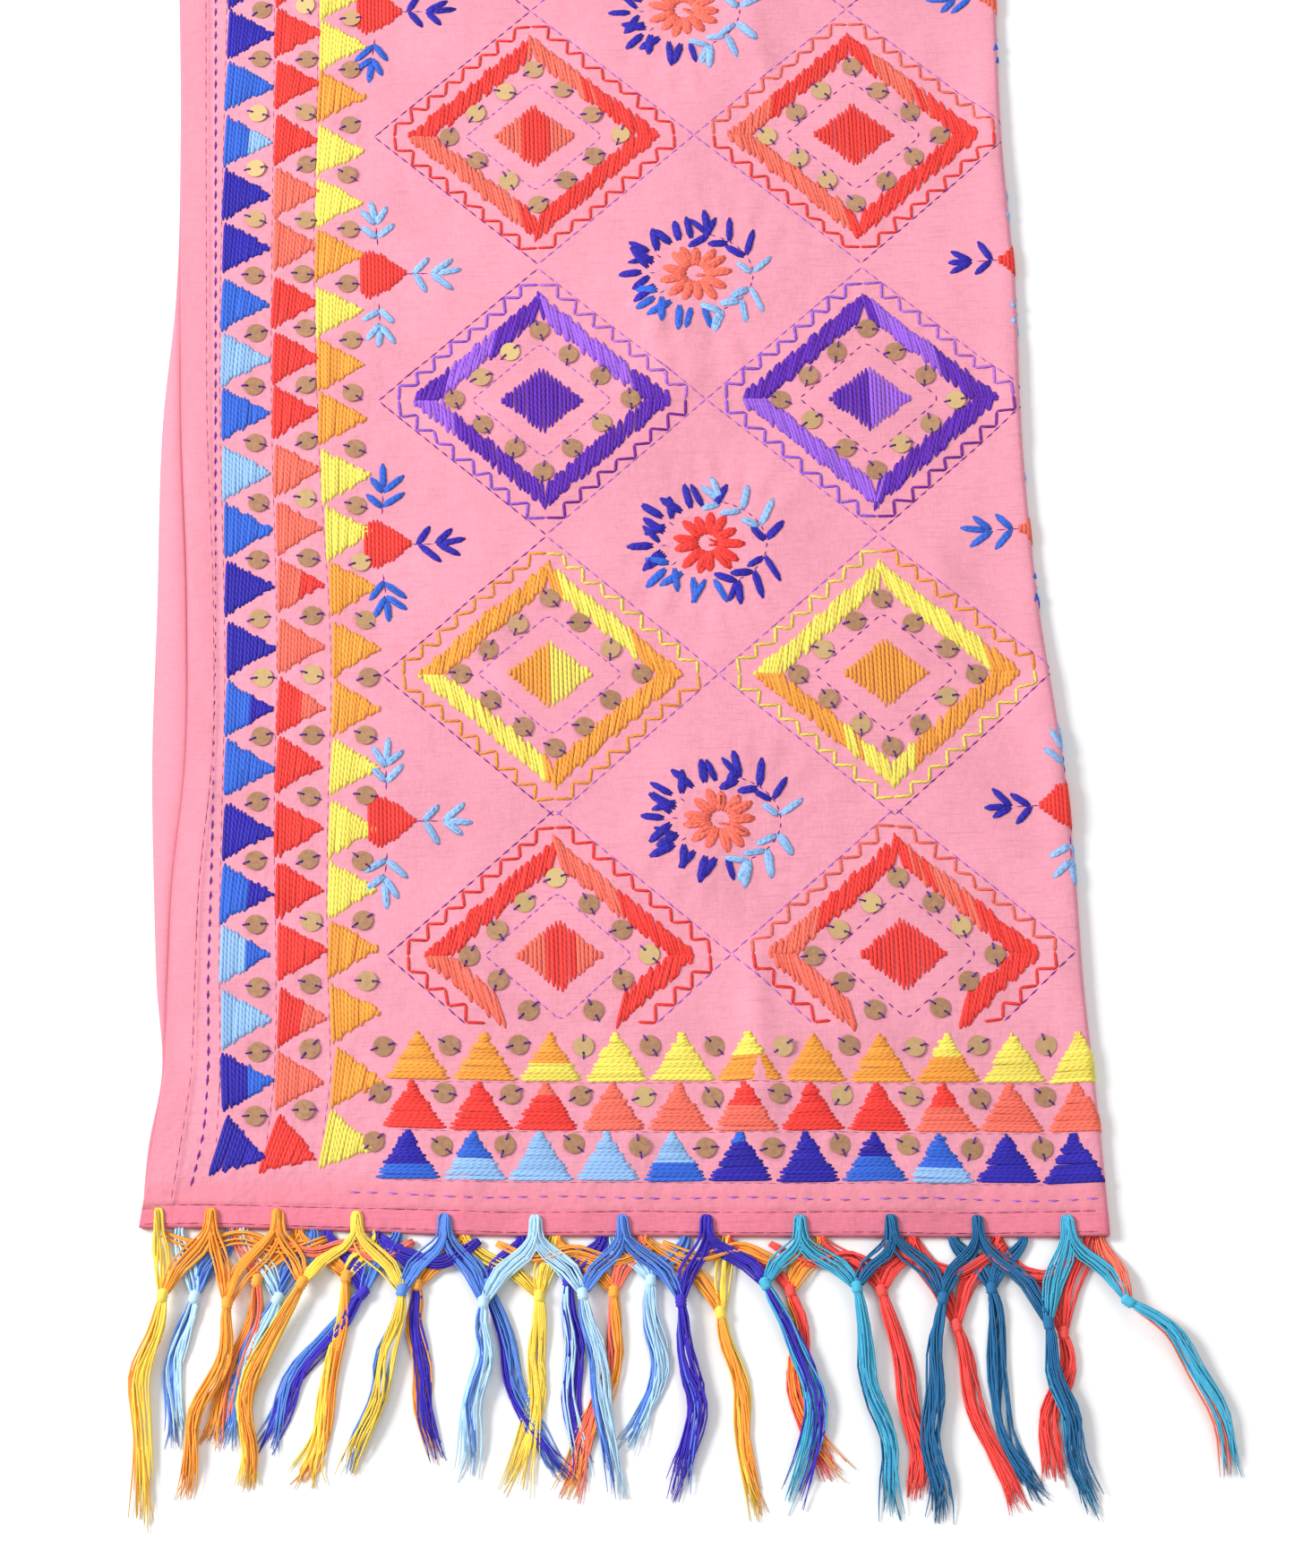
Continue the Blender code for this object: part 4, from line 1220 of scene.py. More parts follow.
def wreath_fan(work, middle, degrees, letter):
    """Three leaves that spread from one place of the wreath, the middle one further out, on a short stem."""
    angle = np.radians(degrees + work.random.uniform(-4, 4))
    out = np.array([np.cos(angle), np.sin(angle)])
    root = middle + FAN_ELLIPSE * MM * out
    fan = np.array([-1, 0, 1]) * work.random.uniform(0.75, 1.0)
    places = root + fan[:, None] * 2.6 * MM * np.array([-out[1], out[0]])
    places += np.array([[0.0], [3.6], [0.0]]) * MM * out + work.random.uniform(-0.7, 0.7, (3, 2)) * MM
    turns = angle + fan + work.random.uniform(-0.15, 0.15, 3)
    leaf_group(work, np.full(3, letter), places, turns, work.random.uniform(12.0, 15.5, 3) * MM)
    work.add_line("p", (root - 3.6 * MM * out)[None], root[None], 0.9 * MM, 0.5 * MM)


def flower(work, centre, row):
    """Blossom in a wreath: a leafy stem on the fold's side, fans and lone leaves round the rest."""
    middle = centre - np.array([5.5 * MM, 0.0])
    petals(work, "crc"[row % 3], middle)
    above, below, left, under = ("nlnn", "lnnb", "nlnb")[row % 3]
    wreath_stem(work, middle, above, below)
    for degrees in FAN_PLACES:
        wreath_fan(work, middle, degrees, left if degrees < LEFT_UNTIL else under)
    count = len(LONE_PLACES)
    angles = np.radians(LONE_PLACES + work.random.uniform(-2.5, 2.5, count))
    places = middle + LONE_ELLIPSE * directions(angles) * MM
    turns = angles + 0.30 * np.tile([-1, 1], count // 2) + work.random.uniform(-0.2, 0.2, count)
    letters = np.where(LONE_PLACES < LEFT_UNTIL, left, under)
    leaf_group(work, letters, places, turns, work.random.uniform(12.0, 16.0, count) * MM)


def half_flower(work, centre, inward, petal, leaf, other):
    """Three-sided satin blossom of upright stitches, with a spray off each of its corners."""
    count = len(HALF_FLOWER_REACH)
    u = centre[0] + (np.arange(count) - 4.0) * HALF_FLOWER_STEP * MM * inward
    jag = work.random.uniform(-0.9, 0.9, (2, count)) * MM
    starts = pairs(u, centre[1] - HALF_FLOWER_REACH * HALF_FLOWER_SIZE + jag[0])
    ends = pairs(u, centre[1] + HALF_FLOWER_REACH * HALF_FLOWER_SIZE + jag[1])
    work.add(petal, starts, ends, 2.4 * MM * work.random.uniform(0.95, 1.1, count), 0.8 * MM)
    facing = 0 if inward > 0 else np.pi
    spray(work, leaf, np.array(centre) + (inward * 14.5 * MM, 0), facing, 15.5 * MM, 13.5 * MM)
    for way in (-1, 1):
        root = np.array(centre) + np.array([inward * 0.5 * MM, way * 16.5 * MM])
        spray(work, other, root, way * np.pi / 2 + work.random.uniform(-0.12, 0.12), 14.0 * MM, 13.0 * MM)


class SHAWL_OT_flowers(bpy.types.Operator):
    """Embroider the flower wreaths between the diamonds and the half flowers on both sides"""
    bl_idname = "shawl.flowers"
    bl_label = "Flowers"

    def execute(self, context):
        work = Embroidery("flowers", 37)
        for row, v in enumerate(FLOWER_V):
            flower(work, np.array([LATTICE_MIDDLE + 0.003, v]), row)
            odd = row % 2
            half_flower(work, (HALF_FLOWER_U, v), 1, "r", "ln"[odd], "lb"[odd])
            by_fold = (FOLD_FLOWER_U, v + FOLD_FLOWER_SHIFT)
            half_flower(work, by_fold, -1, "rc"[odd], "bn"[1 - odd], "lb"[odd])
        work.make()
        return {"FINISHED"}


# Lines of stitches: length, gap and width. The gap inside the diamonds differs in the two columns
HEM_LINE = (6.2 * MM, 2.8 * MM, 1.35 * MM)
LATTICE_LINE = (5.8 * MM, 0.2 * MM, 1.15 * MM)
INNER_GAPS = (0.6 * MM, 1.8 * MM)
HEM_SEAM = (6.6 * MM, 0.3 * MM, 0.5 * MM)
BASE_SEAM = (5.6 * MM, 0.9 * MM, 0.48 * MM)
SIDE_SEAM_INSET = 13.4 * MM
END_SEAM_INSETS = (10.9 * MM, 1.6 * MM)
BASE_SEAM_SHIFT = 0.9 * MM

# Running stitches beside the border: u at each distance from the nearer end, in millimetres
SIDE_LINE = np.array([
    (18, 19.6), (32, 23.2), (46, 26.0), (60, 27.5), (85, 28.9), (126, 28.4), (200, 30.5), (300, 32.0),
]) * MM


class SHAWL_OT_running_stitches(bpy.types.Operator):
    """Sew the running stitches beside the border, above the end hems and round every diamond"""
    bl_idname = "shawl.running_stitches"
    bl_label = "Running Stitches"

    def execute(self, context):
        dash = context.scene.shawl_sizes.dash
        work = Embroidery("running", 41)

        def sew(thread, path, line):
            length, gap, width = line
            starts, ends = line_dashes(path, length, gap, work.random)
            work.add_line(thread, starts, ends, width, width * 0.55)

        v = np.linspace(0.0185, LENGTH - 0.0185, 240)
        u = np.interp(np.minimum(v, LENGTH - v), SIDE_LINE[:, 0], SIDE_LINE[:, 1])
        sew("p", pairs(u, v), (dash, 2.1 * MM, 1.6 * MM))
        for _, far in ENDS:
            u = np.linspace(0.095, 0.462, 60)
            v = 18.3 * MM + ROW_SLOPE * (u - 0.1) + 0.5 * MM * np.sin(u * 70)
            sew("a", pairs(u, from_end(v, far)), HEM_LINE)
        for centre, kind, column in each_diamond():
            for side in range(4):
                path = diamond_point(centre, side + np.linspace(0, 0.999, 12), 1.0)
                margin = BORDER_END + 4 * MM
                path = path[(path[:, 1] > margin) & (path[:, 1] < LENGTH - margin)]
                if len(path) > 1:
                    sew("a" if (side + column) % 3 else "p", path, LATTICE_LINE)
            inner = diamond_point(centre, np.linspace(0, 3.999, 60), INNER_LINE_SHARE)
            sew(DIAMONDS[kind, column][2], inner, (4.0 * MM, INNER_GAPS[column], 1.05 * MM))
        work.make()
        return {"FINISHED"}


class SHAWL_OT_machine_stitches(bpy.types.Operator):
    """Sew the machine stitch lines of the side hems and end hems and the fine lines under the triangles"""
    bl_idname = "shawl.machine_stitches"
    bl_label = "Machine Stitches"

    def execute(self, context):
        random = np.random.default_rng(53)
        bundle = Bundle()

        def sew(path, seam, lift):
            length, gap, width = seam
            starts, ends = line_dashes(path, length, gap, random)
            rings = stitch_rings(starts, ends, width, width * 0.7, DASH_FORM, THREAD_SECTION)
            rings[..., 2] += lift
            bundle.add(rings, random.random(len(starts)))

        v = np.linspace(14 * MM, LENGTH - 14 * MM, 300)
        sew(pairs(outline(v)[0] + SIDE_SEAM_INSET, v), HEM_SEAM, SIDE_HEM_RISE)
        for _, far in ENDS:
            for inset in END_SEAM_INSETS:
                u = np.linspace(outline(np.array([inset]))[0][0] + 2 * MM, 0.459, 120)
                v = inset + 0.25 * MM * np.sin(u * 60)
                sew(pairs(u, from_end(v, far)), HEM_SEAM, END_HEM_RISE)
        for base, _, first, count, _ in COLUMNS:
            u, v, _ = column_places(base, first, count)
            sew(pairs(u - BASE_SEAM_SHIFT, v), BASE_SEAM, 0)
        for first, base_v, _, _ in ROWS:
            for _, far in ENDS:
                u, v = row_places(first, base_v - BASE_SEAM_SHIFT, far)
                sew(pairs(u - 8 * MM, v), BASE_SEAM, 0)
        add_piece("machine_stitches", bundle.mesh("machine_stitches"), [seam_material()])
        return {"FINISHED"}


# Sequins

# Sequin, as shares of its radius: middle of each hole, radius of a hole, and places along a sewing thread
HOLE_OFFSET = 0.62
HOLE_SHARE = 0.15
THREAD_RUN = np.array([HOLE_OFFSET - 0.06, HOLE_OFFSET, 0.84, 1.08, 1.26])
THREAD_LIFT = np.array([-0.5, 0.36, 0.60, 0.15, -0.95]) * MM
SEQUIN_LIFT = 0.75 * MM
SEQUIN_HALF = 0.14 * MM
SEQUIN_MARGIN = 0.108


def sequin_form():
    """Flat disc of radius 1 with two small holes: points, triangles of its face, rims as index loops."""
    disc = bmesh.new()
    loops = []
    circles = ((0.0, 1.0, 15), (HOLE_OFFSET, HOLE_SHARE, 5), (-HOLE_OFFSET, HOLE_SHARE, 5))
    for middle, radius, count in circles:
        turns = directions(2 * np.pi * np.arange(count) / count)
        ring = [disc.verts.new((middle + radius * x, radius * y, 0)) for x, y in turns]
        for a, b in zip(ring, ring[1:] + ring[:1]):
            disc.edges.new((a, b))
        loops.append(ring)
    bmesh.ops.triangle_fill(disc, use_beauty=True, use_dissolve=False, edges=disc.edges, normal=(0, 0, 1))
    disc.verts.index_update()
    points = np.array([vertex.co for vertex in disc.verts])
    faces = np.array([[vertex.index for vertex in face.verts] for face in disc.faces])
    rims = [np.array([vertex.index for vertex in ring]) for ring in loops]
    disc.free()
    a, b, c = points[faces].transpose(1, 0, 2)
    turned = np.cross(b - a, c - a)[:, 2] < 0
    faces[turned] = faces[turned][:, ::-1]
    return points, faces, [rims[0], rims[1][::-1], rims[2][::-1]]


def sequin_places():
    """u and v of every sequin: between the triangles of the columns and rows, and twelve in each diamond."""
    places = []
    for base, depth, first, count, _ in COLUMNS:
        u, v, _ = column_places(base, first, count)
        between = pairs((u[1:] + u[:-1]) / 2 + depth * 0.70, (v[1:] + v[:-1]) / 2)
        at_rows = (base is YELLOW_BASE) & (np.minimum(between[:, 1], LENGTH - between[:, 1]) < 0.100)
        places.append(between[~at_rows])
    for _, far in ENDS:
        for first, base_v, depth, _ in ROWS:
            u, v = row_places(first, base_v + depth * 0.72, far)
            places.append(pairs(u - ROW_PITCH / 2, v))
    for centre, _, _ in each_diamond():
        ring = diamond_point(centre, np.arange(12) / 3, SEQUIN_SHARE)
        places.append(ring[(ring[:, 1] > SEQUIN_MARGIN) & (ring[:, 1] < LENGTH - SEQUIN_MARGIN)])
    return np.concatenate(places)


def sequin_mesh(middle, turn, tilt, radius):
    """Thin flat discs, each turned, leaned so that height = x * tilt x + y * tilt y, and set in its place."""
    form, faces, rims = sequin_form()
    cos, sin = np.cos(turn)[:, None], np.sin(turn)[:, None]
    x, y = form[:, 0], form[:, 1]
    flat = np.stack([x * cos - y * sin, x * sin + y * cos], axis=2) * radius
    lean = (flat * tilt[:, None]).sum(axis=2)
    points = middle[:, None] + np.concatenate([flat, lean[..., None]], axis=2)
    both = np.concatenate([points + (0, 0, SEQUIN_HALF), points - (0, 0, SEQUIN_HALF)], axis=1)

    size = len(form)
    offset = (2 * size * np.arange(len(middle)))[:, None, None]
    triangles = (np.concatenate([faces, faces[:, ::-1] + size])[None] + offset).reshape(-1, 3)
    walls = [np.stack([rim, np.roll(rim, -1), np.roll(rim, -1) + size, rim + size], axis=1)[:, ::-1]
             for rim in rims]
    quads = (np.concatenate(walls)[None] + offset).reshape(-1, 4)
    mesh = polygon_mesh("sequins", both.reshape(-1, 3), np.concatenate([triangles.ravel(), quads.ravel()]),
                        np.concatenate([np.full(len(triangles), 3), np.full(len(quads), 4)]))
    mesh.polygons.foreach_set("use_smooth", np.zeros(len(mesh.polygons), bool))
    return mesh


def sequin_threads(middle, turn, tilt, radius, random):
    """Short threads that come up through each hole, cross the disc's edge and go down into the cloth."""
    count = len(middle)
    bundle = Bundle()
    for side in (-1, 1):
        aim = np.stack([np.cos(turn), np.sin(turn), np.zeros(count)], axis=1) * side
        path = middle[:, None] + aim[:, None] * THREAD_RUN[:, None] * radius
        path[..., 2] += THREAD_LIFT + ((path[..., :2] - middle[:, None, :2]) * tilt[:, None]).sum(axis=2)
        radii = np.full(path.shape[:2], 0.48 * MM)
        bundle.add(tube_rings(path, radii, 3), random.random(count))
    return bundle


class SHAWL_OT_sequins(bpy.types.Operator):
    """Sew on the brass sequins, each with two holes and a stitch of purple thread through each"""
    bl_idname = "shawl.sequins"
    bl_label = "Sequins"

    def execute(self, context):
        radius = context.scene.shawl_sizes.sequin / 2
        random = np.random.default_rng(67)
        places = sequin_places()
        places = places + random.uniform(-1.2, 1.2, places.shape) * MM
        count = len(places)
        turn = np.where(places[:, 0] < 0.12, 0.0, random.choice([0.3, np.pi / 2, 2.4], count))
        turn = turn + random.normal(0, 0.35, count)
        tilt = random.normal(0, 0.045, (count, 2))
        middle = on_cloth(places[:, 0], places[:, 1], SEQUIN_LIFT)

        mesh = sequin_mesh(middle, turn, tilt, radius)
        set_attribute(mesh, "tone", np.repeat(random.random(count) ** 2.2, len(mesh.vertices) // count))
        brass = brass_material(tuple(context.scene.shawl_colours.brass))
        add_piece("sequins", mesh, [brass])
        bundle = sequin_threads(middle, turn, tilt, radius, random)
        add_piece("sequin_threads", bundle.mesh("sequin_threads"), [thread_material("d")])
        return {"FINISHED"}


# Fringe

TASSEL_LAYERS = ("top", "under", "back")
KNOT_RADIUS = 2.9 * MM
KNOT_REACH = 3.6 * MM
KNOT_PROFILE = np.array([0.35, 0.78, 1.0, 0.84, 1.04, 0.84, 1.0, 0.74, 0.4])

# Bundles along their length: share of the length, half width and half height in millimetres
LOCK_WIDTHS = np.array([(0, 1.6), (0.10, 3.3), (0.35, 4.9), (0.65, 4.8), (0.88, 5.4), (1, 6.8)])
LOCK_HEIGHTS = np.array([(0, 1.3), (0.12, 1.9), (0.5, 1.6), (1, 0.8)])
ARM_WIDTHS = np.array([(0, 0.2), (0.12, 1.9), (0.38, 2.3), (0.62, 4.2), (0.85, 3.8), (1, 1.6)])
ARM_HEIGHTS = np.array([(0, 0.2), (0.12, 1.7), (0.38, 1.3), (0.6, 0.8), (1, 1.0)])
LOCK_STATIONS = 13
ARM_STATIONS = 11
LOOP_STATIONS = 20
LOOP_YARNS = 14


def read(table, t):
    """Values of a table of millimetres at the shares t, in metres."""
    return np.interp(t, table[:, 0], table[:, 1]) * MM


def resample(path, count):
    """Cubic curve through a short path, read at evenly spaced parameters."""
    knots = np.linspace(0, 1, len(path))
    t = np.linspace(0, 1, count)
    return np.stack([smooth_curve(t, knots, path[:, axis]) for axis in range(path.shape[1])], axis=-1)


def spun(centre, height, places, half_width, half_height, turns):
    """Paths of yarns round one centre line: its place in the bundle turns as it runs along.

    Sideways: half width * (a cos - b sin), upwards: half height * (a sin + b cos), over the turned angle.
    """
    along = np.gradient(centre, axis=0)
    across = pairs(along[:, 1], -along[:, 0])
    across /= np.linalg.norm(across, axis=1, keepdims=True)
    angle = 2 * np.pi * turns
    a, b = places[:, :1], places[:, 1:]
    sideways = half_width * (a * np.cos(angle) - b * np.sin(angle))
    upwards = half_height * (a * np.sin(angle) + b * np.cos(angle))
    flat = centre[None] + sideways[..., None] * across[None]
    return flat[..., 0], flat[..., 1], height + upwards


def lock_yarns(path, knot_height, fall, count, radius, random):
    """Yarns that hang from the knot: one loose twist, spreading and fraying to ends of unequal length."""
    centre = resample(path, LOCK_STATIONS)
    t = np.linspace(0, 1, LOCK_STATIONS)
    wander = random.uniform(1.2, 2.6) * MM
    swings = random.uniform(1.1, 1.9) * t + random.uniform(0, 1)
    centre[:, 0] += wander * np.sin(2 * np.pi * swings) * np.sin(np.pi * t)
    rest = radius * 1.6
    height = rest + (knot_height - rest) * smooth_curve(t, np.linspace(0, 1, len(fall)), fall)
    disc = np.sqrt(random.uniform(0.03, 1, count))
    phase = random.uniform(0, 2 * np.pi, count)
    places = disc[:, None] * directions(phase)
    turns = t[None] * random.uniform(0.15, 0.55) + 0.05 * np.sin(7 * t[None] + phase[:, None])
    u, v, z = spun(centre, height, places, read(LOCK_WIDTHS, t), read(LOCK_HEIGHTS, t), turns)
    wave = 0.55 * MM * np.sin(2 * np.pi * random.uniform(1.6, 3.2, (count, 1)) * t + phase[:, None] * 3)
    stray = random.normal(0, 1, (count, 1)) * t ** 5 * 2.2 * MM
    clump = np.floor(phase / (2 * np.pi) * 3)[:, None] - 1
    parted = clump * np.maximum(t - random.uniform(0.5, 0.75), 0) ** 1.3 * random.uniform(3, 12) * MM
    u = u + (wave + stray + parted) * np.minimum(4 * t, 1)
    reach = random.uniform(0.86, 1.0, (count, 1))
    at = t * reach
    u, v, z = [np.stack([np.interp(row, t, line) for row, line in zip(at, lines)]) for lines in (u, v, z)]
    thickness = radius * np.interp(t, [0, 0.06, 0.85, 1], [0.9, 1.0, 0.95, 0.3])
    return u, v, np.maximum(z, thickness + 0.1 * MM), np.broadcast_to(thickness, u.shape), phase


def arm_yarns(start, knot, over_edge, count, radius, random):
    """Yarns of one arm: bunched out of the hole and over the hem's edge, then a flat ribbon to the knot."""
    start_u, start_v, start_z = start
    knot_u, knot_v, knot_z = knot
    edge_v = -2.2 * MM if over_edge else start_v - 3.0 * MM
    aside = knot_u - start_u
    swing = random.uniform(-0.05, 0.05) * np.array([0, 0, 0, 1, 1, 0])
    u = start_u + (np.array([-0.02, 0.0, 0.03, 0.28, 0.70, 1.0]) + swing) * aside
    fall = np.array([0.0, 0.26, 0.56, 1.0])
    v = np.concatenate([[start_v + 2.6 * MM, start_v], edge_v + fall * (knot_v - edge_v)])
    drop = np.array([-0.8, 0.2, 0.1, -1.6, -1.2, 0.0]) * MM if over_edge else np.zeros(6)
    z = start_z + np.array([0, 0, 0, 0.25, 0.65, 1.0]) * (knot_z - start_z) + drop
    line = resample(np.stack([u, v, z], axis=1), ARM_STATIONS)
    t = np.linspace(0, 1, ARM_STATIONS)
    places = pairs(np.linspace(-1, 1, count), random.uniform(-1, 1, count))
    turns = 0.12 * np.sin(np.pi * t[None]) * random.choice([-1, 1]) + 0.03 * random.normal(0, 1, (count, 1))
    u, v, z = spun(line[:, :2], line[:, 2], places, read(ARM_WIDTHS, t), read(ARM_HEIGHTS, t), turns)
    return u, v, np.maximum(z, radius), np.full(u.shape, radius)


def knot_strand(knot, along, far):
    """Wrapped knot: a short thick strand along the yarn, waisted between its three wraps."""
    t = np.linspace(-1, 1, len(KNOT_PROFILE))[:, None]
    aim = along / np.linalg.norm(along)
    u, v = (np.array(knot[:2]) + t * aim * KNOT_REACH).T
    path = world(u, from_end(v, far), np.full(len(t), knot[2]))
    return tube_rings(path[None], KNOT_PROFILE[None] * KNOT_RADIUS, 10)


def lay_yarns(bundle, far, u, v, z, radii, kind, random):
    """Adds yarns to a bundle, mirrored to the far end where asked."""
    bundle.add(tube_rings(world(u, from_end(v, far), z), radii, 3), random.random(len(u)), kind)


def make_tassel(name, row, index, holes, layer, far, replaced):
    """One tassel: two arms, a wrapped knot and the hanging yarns, in the colours of its two arms."""
    sizes = bpy.context.scene.shawl_sizes
    random = np.random.default_rng([71, index, far, TASSEL_LAYERS.index(layer)])
    path = np.array(row[:8]).reshape(4, 2) * MM
    first, second, share = row[8:]
    if far and not (layer == "top" and index + 1 == len(TOP_TASSELS)):
        path[:, 0] = path[0, 0] + FAR_SWAY * (path[:, 0] - path[0, 0])
    on_top = layer == "top"
    knot_z, fall = (TOP_KNOT_HEIGHT, TOP_LOCK_FALL) if on_top else (UNDER_KNOT_HEIGHT, UNDER_LOCK_FALL)
    knot = (*path[0], knot_z)
    radius = sizes.yarn / 2
    bundle = Bundle()
    for kind, start in enumerate(holes):
        arm = arm_yarns(start, knot, start[1] > 0, sizes.arm_yarns, radius, random)
        lay_yarns(bundle, far, *arm, kind, random)
    *lines, phase = lock_yarns(path, knot_z, fall, sizes.lock_yarns, radius, random)
    left = (phase + random.normal(0, 0.35, len(phase))) % (2 * np.pi) < share * 2 * np.pi
    for kind, pick in ((0, left), (1, ~left)):
        if pick.any():
            lay_yarns(bundle, far, *(line[pick] for line in lines), kind, random)
    bundle.add(knot_strand(knot, path[1] - path[0], far), 0.4, int(share < 0.5))
    materials = [yarn_material(first), yarn_material(second)]
    add_piece(name, bundle.mesh(name), materials, replaced)


def top_start(u, far):
    """Where an arm leaves its hole in the top layer's end hem: u, distance from the end and height."""
    height = cloth_height(np.array(u), np.array(from_end(HOLE_SETBACK, far)))
    return u, HOLE_SETBACK, float(height) + END_HEM_RISE + 0.8 * MM


def under_start(u):
    """Where an arm comes from under the edge of the under layer, in the same form."""
    return u, -0.5 * MM, 1.3 * MM


def top_holes(index, far):
    """The two holes of a tassel of the top layer; the last one's second arm comes out of the fold."""
    holes = [top_start(HOLES[index] + ARM_SPACING, far)]
    if index + 1 == len(TOP_TASSELS):
        return holes + [under_start(FOLD_ARM_U)]
    return holes + [top_start(HOLES[index + 1] - ARM_SPACING, far)]


class SHAWL_OT_fringe(bpy.types.Operator):
    """Knot the fringe of both layers at both ends"""
    bl_idname = "shawl.fringe"
    bl_label = "Fringe"

    def execute(self, context):
        for end, far in ENDS:
            for i, row in enumerate(TOP_TASSELS):
                place = f"{end}_top_{i:02d}"
                make_tassel(f"fringe_{place}", row, i, top_holes(i, far), "top", far, [f"tassel_{place}"])
            for i, row in enumerate(UNDER_TASSELS):
                place = f"{end}_under_{i:02d}"
                holes = [under_start(HOLES[i] + UNDER_HOLE_SHIFT + ARM_SPACING),
                         under_start(HOLES[i + 1] + UNDER_HOLE_SHIFT - ARM_SPACING)]
                make_tassel(f"fringe_{place}", row, i, holes, "under", far, [f"tassel_{place}"])
            for i, row in enumerate(BACK_TASSELS):
                holes = [under_start(row[0] * MM - BACK_ARM_REACH), under_start(row[0] * MM + BACK_ARM_REACH)]
                make_tassel(f"fringe_{end}_back_{i:02d}", row, i, holes, "back", far, [])
        return {"FINISHED"}


class SHAWL_OT_slack_loops(bpy.types.Operator):
    """Lay the slack loops of yarn that hang behind the arms of the fringe"""
    bl_idname = "shawl.slack_loops"
    bl_label = "Slack Loops"

    def execute(self, context):
        radius = context.scene.shawl_sizes.yarn / 2
        for end, far in ENDS:
            for i, (*points, yarn) in enumerate(SLACK_LOOPS):
                random = np.random.default_rng([83, i, far])
                centre = resample(np.array(points).reshape(5, 2) * MM, LOOP_STATIONS)
                t = np.linspace(0, 1, LOOP_STATIONS)
                angle = random.uniform(0, 2 * np.pi, LOOP_YARNS)
                places = np.sqrt(random.uniform(0.1, 1, LOOP_YARNS))[:, None] * directions(angle)
                turns = 0.35 * t[None] + 0.06 * np.sin(6 * t[None] + angle[:, None])
                swell = 0.45 + 0.55 * np.sin(np.pi * t)
                height = 2.0 * MM + 0.9 * MM * np.sin(np.pi * t)
                u, v, z = spun(centre, height, places, 4.0 * MM * swell, 1.4 * MM * swell, turns)
                bundle = Bundle()
                lay_yarns(bundle, far, u, v, np.maximum(z, radius * 1.2), np.full(u.shape, radius), 0, random)
                name = f"fringe_{end}_loop_{i}"
                add_piece(name, bundle.mesh(name), [yarn_material(yarn)])
        return {"FINISHED"}


# Studio

def place_facing(scene, name, data, place, axes):
    """Links a lamp or lens at a place, turned to three axes given as arrays."""
    thing = bpy.data.objects.new(name, data)
    thing.matrix_world = Matrix.Translation(place) @ Matrix(np.column_stack(axes).tolist()).to_4x4()
    scene.collection.objects.link(thing)
    return thing


def make_floor(scene):
    """Wide level square under the shawl."""
    mesh = bpy.data.meshes.new("studio_floor")
    corners = [(x * FLOOR_HALF, y * FLOOR_HALF, 0) for x, y in ((-1, -1), (1, -1), (1, 1), (-1, 1))]
    mesh.from_pydata(corners, [], [(0, 1, 2, 3)])
    mesh.materials.append(floor_material(tuple(scene.shawl_colours.floor)))
    floor = bpy.data.objects.new("studio_floor", mesh)
    scene.collection.objects.link(floor)


def make_lamp(scene, name, place, size, power, colour):
    """Round area light that faces the middle of the shawl."""
    lamp = bpy.data.lights.new(name, "AREA")
    lamp.shape = "DISK"
    lamp.size = size
    lamp.energy = power
    lamp.color = colour
    away = np.array(place) / np.linalg.norm(place)
    side = np.cross((0.0, 1.0, 0.0), away)
    side /= np.linalg.norm(side)
    place_facing(scene, name, lamp, place, [side, np.cross(away, side), away])


def make_camera(scene):
    """Camera that looks down past the near end, turned by its tilt from straight down and by its yaw."""
    lens = bpy.data.cameras.new("photo_camera")
    lens.lens = CAMERA_LENS
    lens.sensor_width = SENSOR_WIDTH
    level = np.array([np.sin(CAMERA_YAW), np.cos(CAMERA_YAW), 0.0])
    ahead = level * np.sin(CAMERA_TILT) - np.array([0.0, 0.0, np.cos(CAMERA_TILT)])
    right = np.array([np.cos(CAMERA_YAW), -np.sin(CAMERA_YAW), 0.0])
    axes = [right, np.cross(right, ahead), -ahead]
    scene.camera = place_facing(scene, "photo_camera", lens, CAMERA_PLACE, axes)


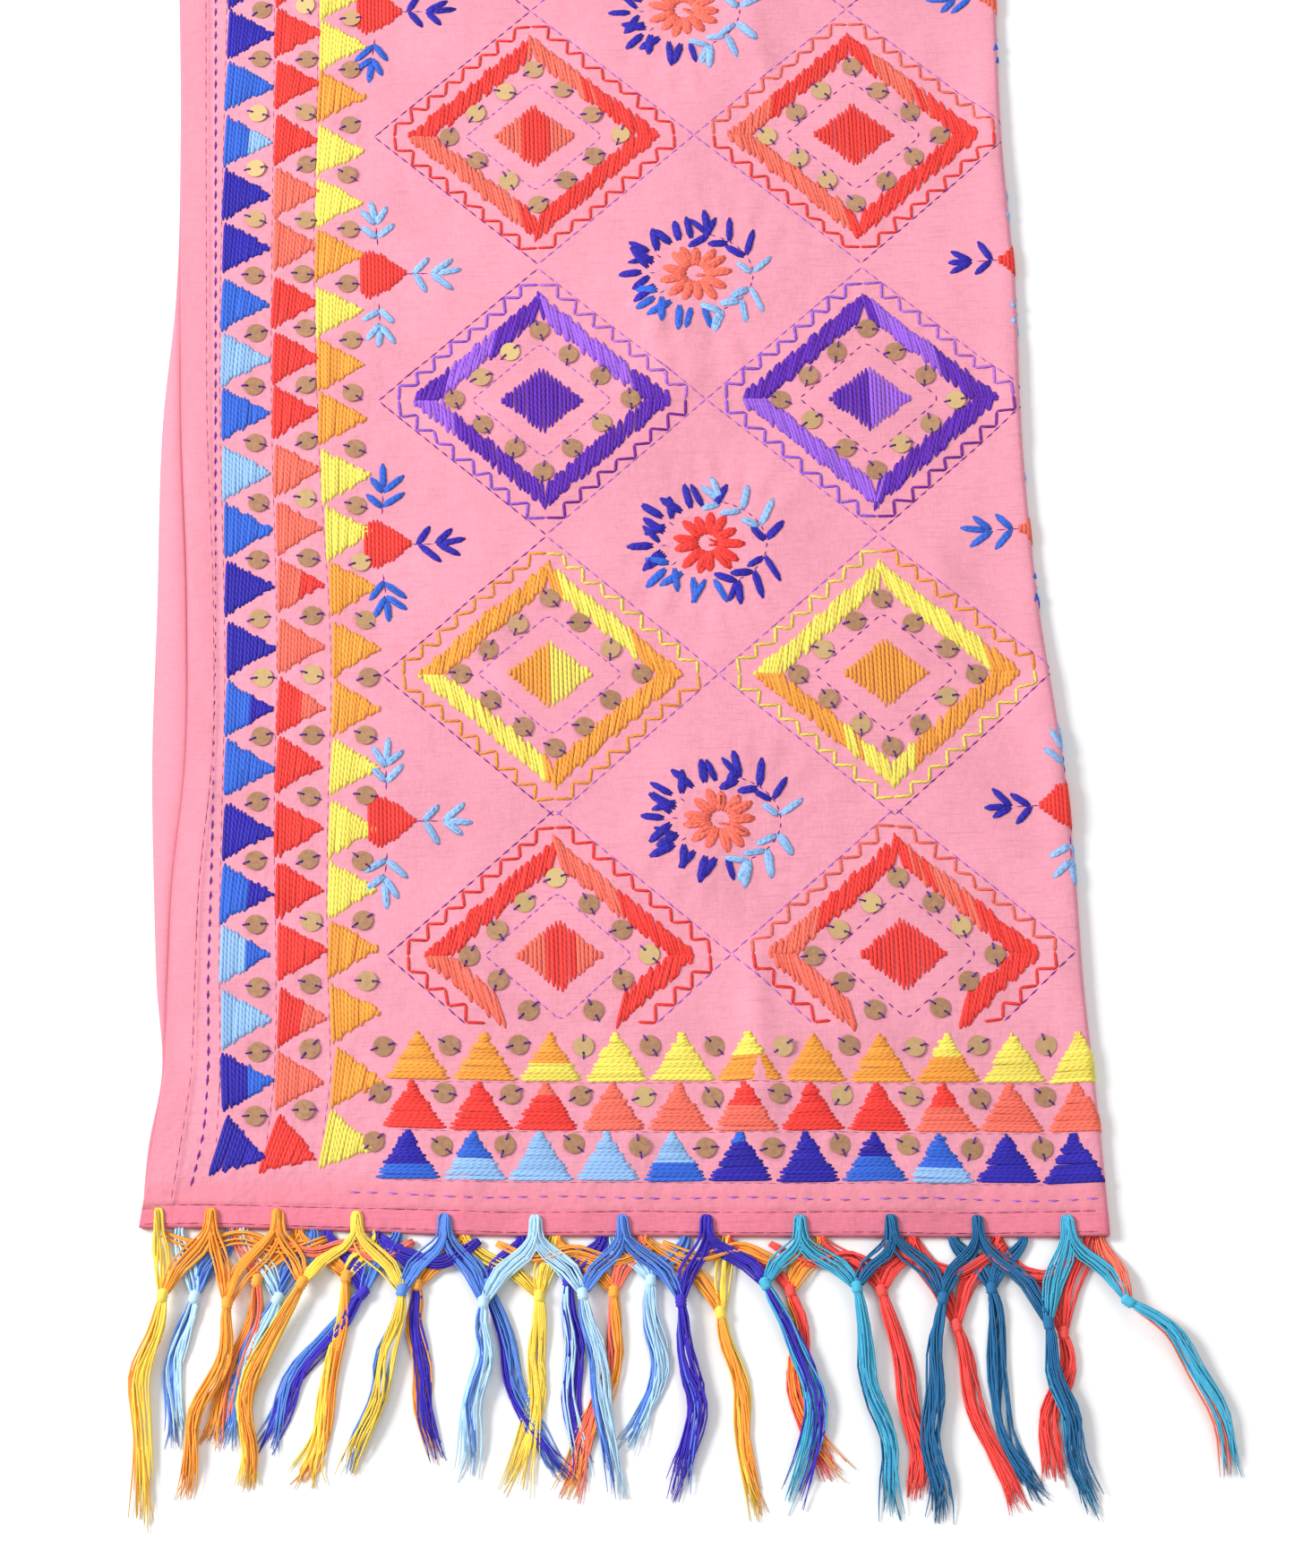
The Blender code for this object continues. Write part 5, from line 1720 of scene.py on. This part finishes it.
class SHAWL_OT_stage(bpy.types.Operator):
    """Make the pale floor, the soft lights and the camera"""
    bl_idname = "shawl.stage"
    bl_label = "Studio"

    def execute(self, context):
        scene = context.scene
        scene.view_settings.view_transform = "Standard"
        make_floor(scene)
        world_light = bpy.data.worlds.new("studio_light")
        world_light.use_nodes = True
        background = world_light.node_tree.nodes["Background"]
        background.inputs["Color"].default_value = (1.0, 1.0, 1.0, 1.0)
        background.inputs["Strength"].default_value = SKY_STRENGTH
        scene.world = world_light

        for light in LIGHTS:
            make_lamp(scene, *light)
        make_camera(scene)
        return {"FINISHED"}


STEPS = (
    SHAWL_OT_stage, SHAWL_OT_end_hems, SHAWL_OT_triangles, SHAWL_OT_diamonds, SHAWL_OT_flowers,
    SHAWL_OT_running_stitches, SHAWL_OT_machine_stitches, SHAWL_OT_sequins, SHAWL_OT_fringe,
    SHAWL_OT_slack_loops, SHAWL_OT_cloth,
)


class SHAWL_PT_panel(bpy.types.Panel):
    """Sizes, colours and steps of the shawl"""
    bl_idname = "SHAWL_PT_panel"
    bl_label = "Phulkari Shawl"
    bl_space_type = "VIEW_3D"
    bl_region_type = "UI"
    bl_category = "Shawl"

    def draw(self, context):
        for group in (context.scene.shawl_sizes, context.scene.shawl_colours):
            box = self.layout.box()
            for name in group.bl_rna.properties.keys():
                if name not in {"rna_type", "name"}:
                    box.prop(group, name)
        for step in STEPS:
            self.layout.operator(step.bl_idname)


CLASSES = (ShawlSizes, ShawlColours, *STEPS, SHAWL_PT_panel)


def register():
    for kind in CLASSES:
        bpy.utils.register_class(kind)
    bpy.types.Scene.shawl_sizes = PointerProperty(type=ShawlSizes)
    bpy.types.Scene.shawl_colours = PointerProperty(type=ShawlColours)


def unregister():
    del bpy.types.Scene.shawl_colours
    del bpy.types.Scene.shawl_sizes
    for kind in reversed(CLASSES):
        bpy.utils.unregister_class(kind)


def main():
    register()
    bpy.ops.shawl.stage()
    bpy.ops.shawl.end_hems()
    bpy.ops.shawl.triangles()
    bpy.ops.shawl.diamonds()
    bpy.ops.shawl.flowers()
    bpy.ops.shawl.running_stitches()
    bpy.ops.shawl.machine_stitches()
    bpy.ops.shawl.sequins()
    bpy.ops.shawl.fringe()
    bpy.ops.shawl.slack_loops()
    bpy.ops.shawl.cloth()
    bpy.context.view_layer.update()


if __name__ == "__main__":
    main()
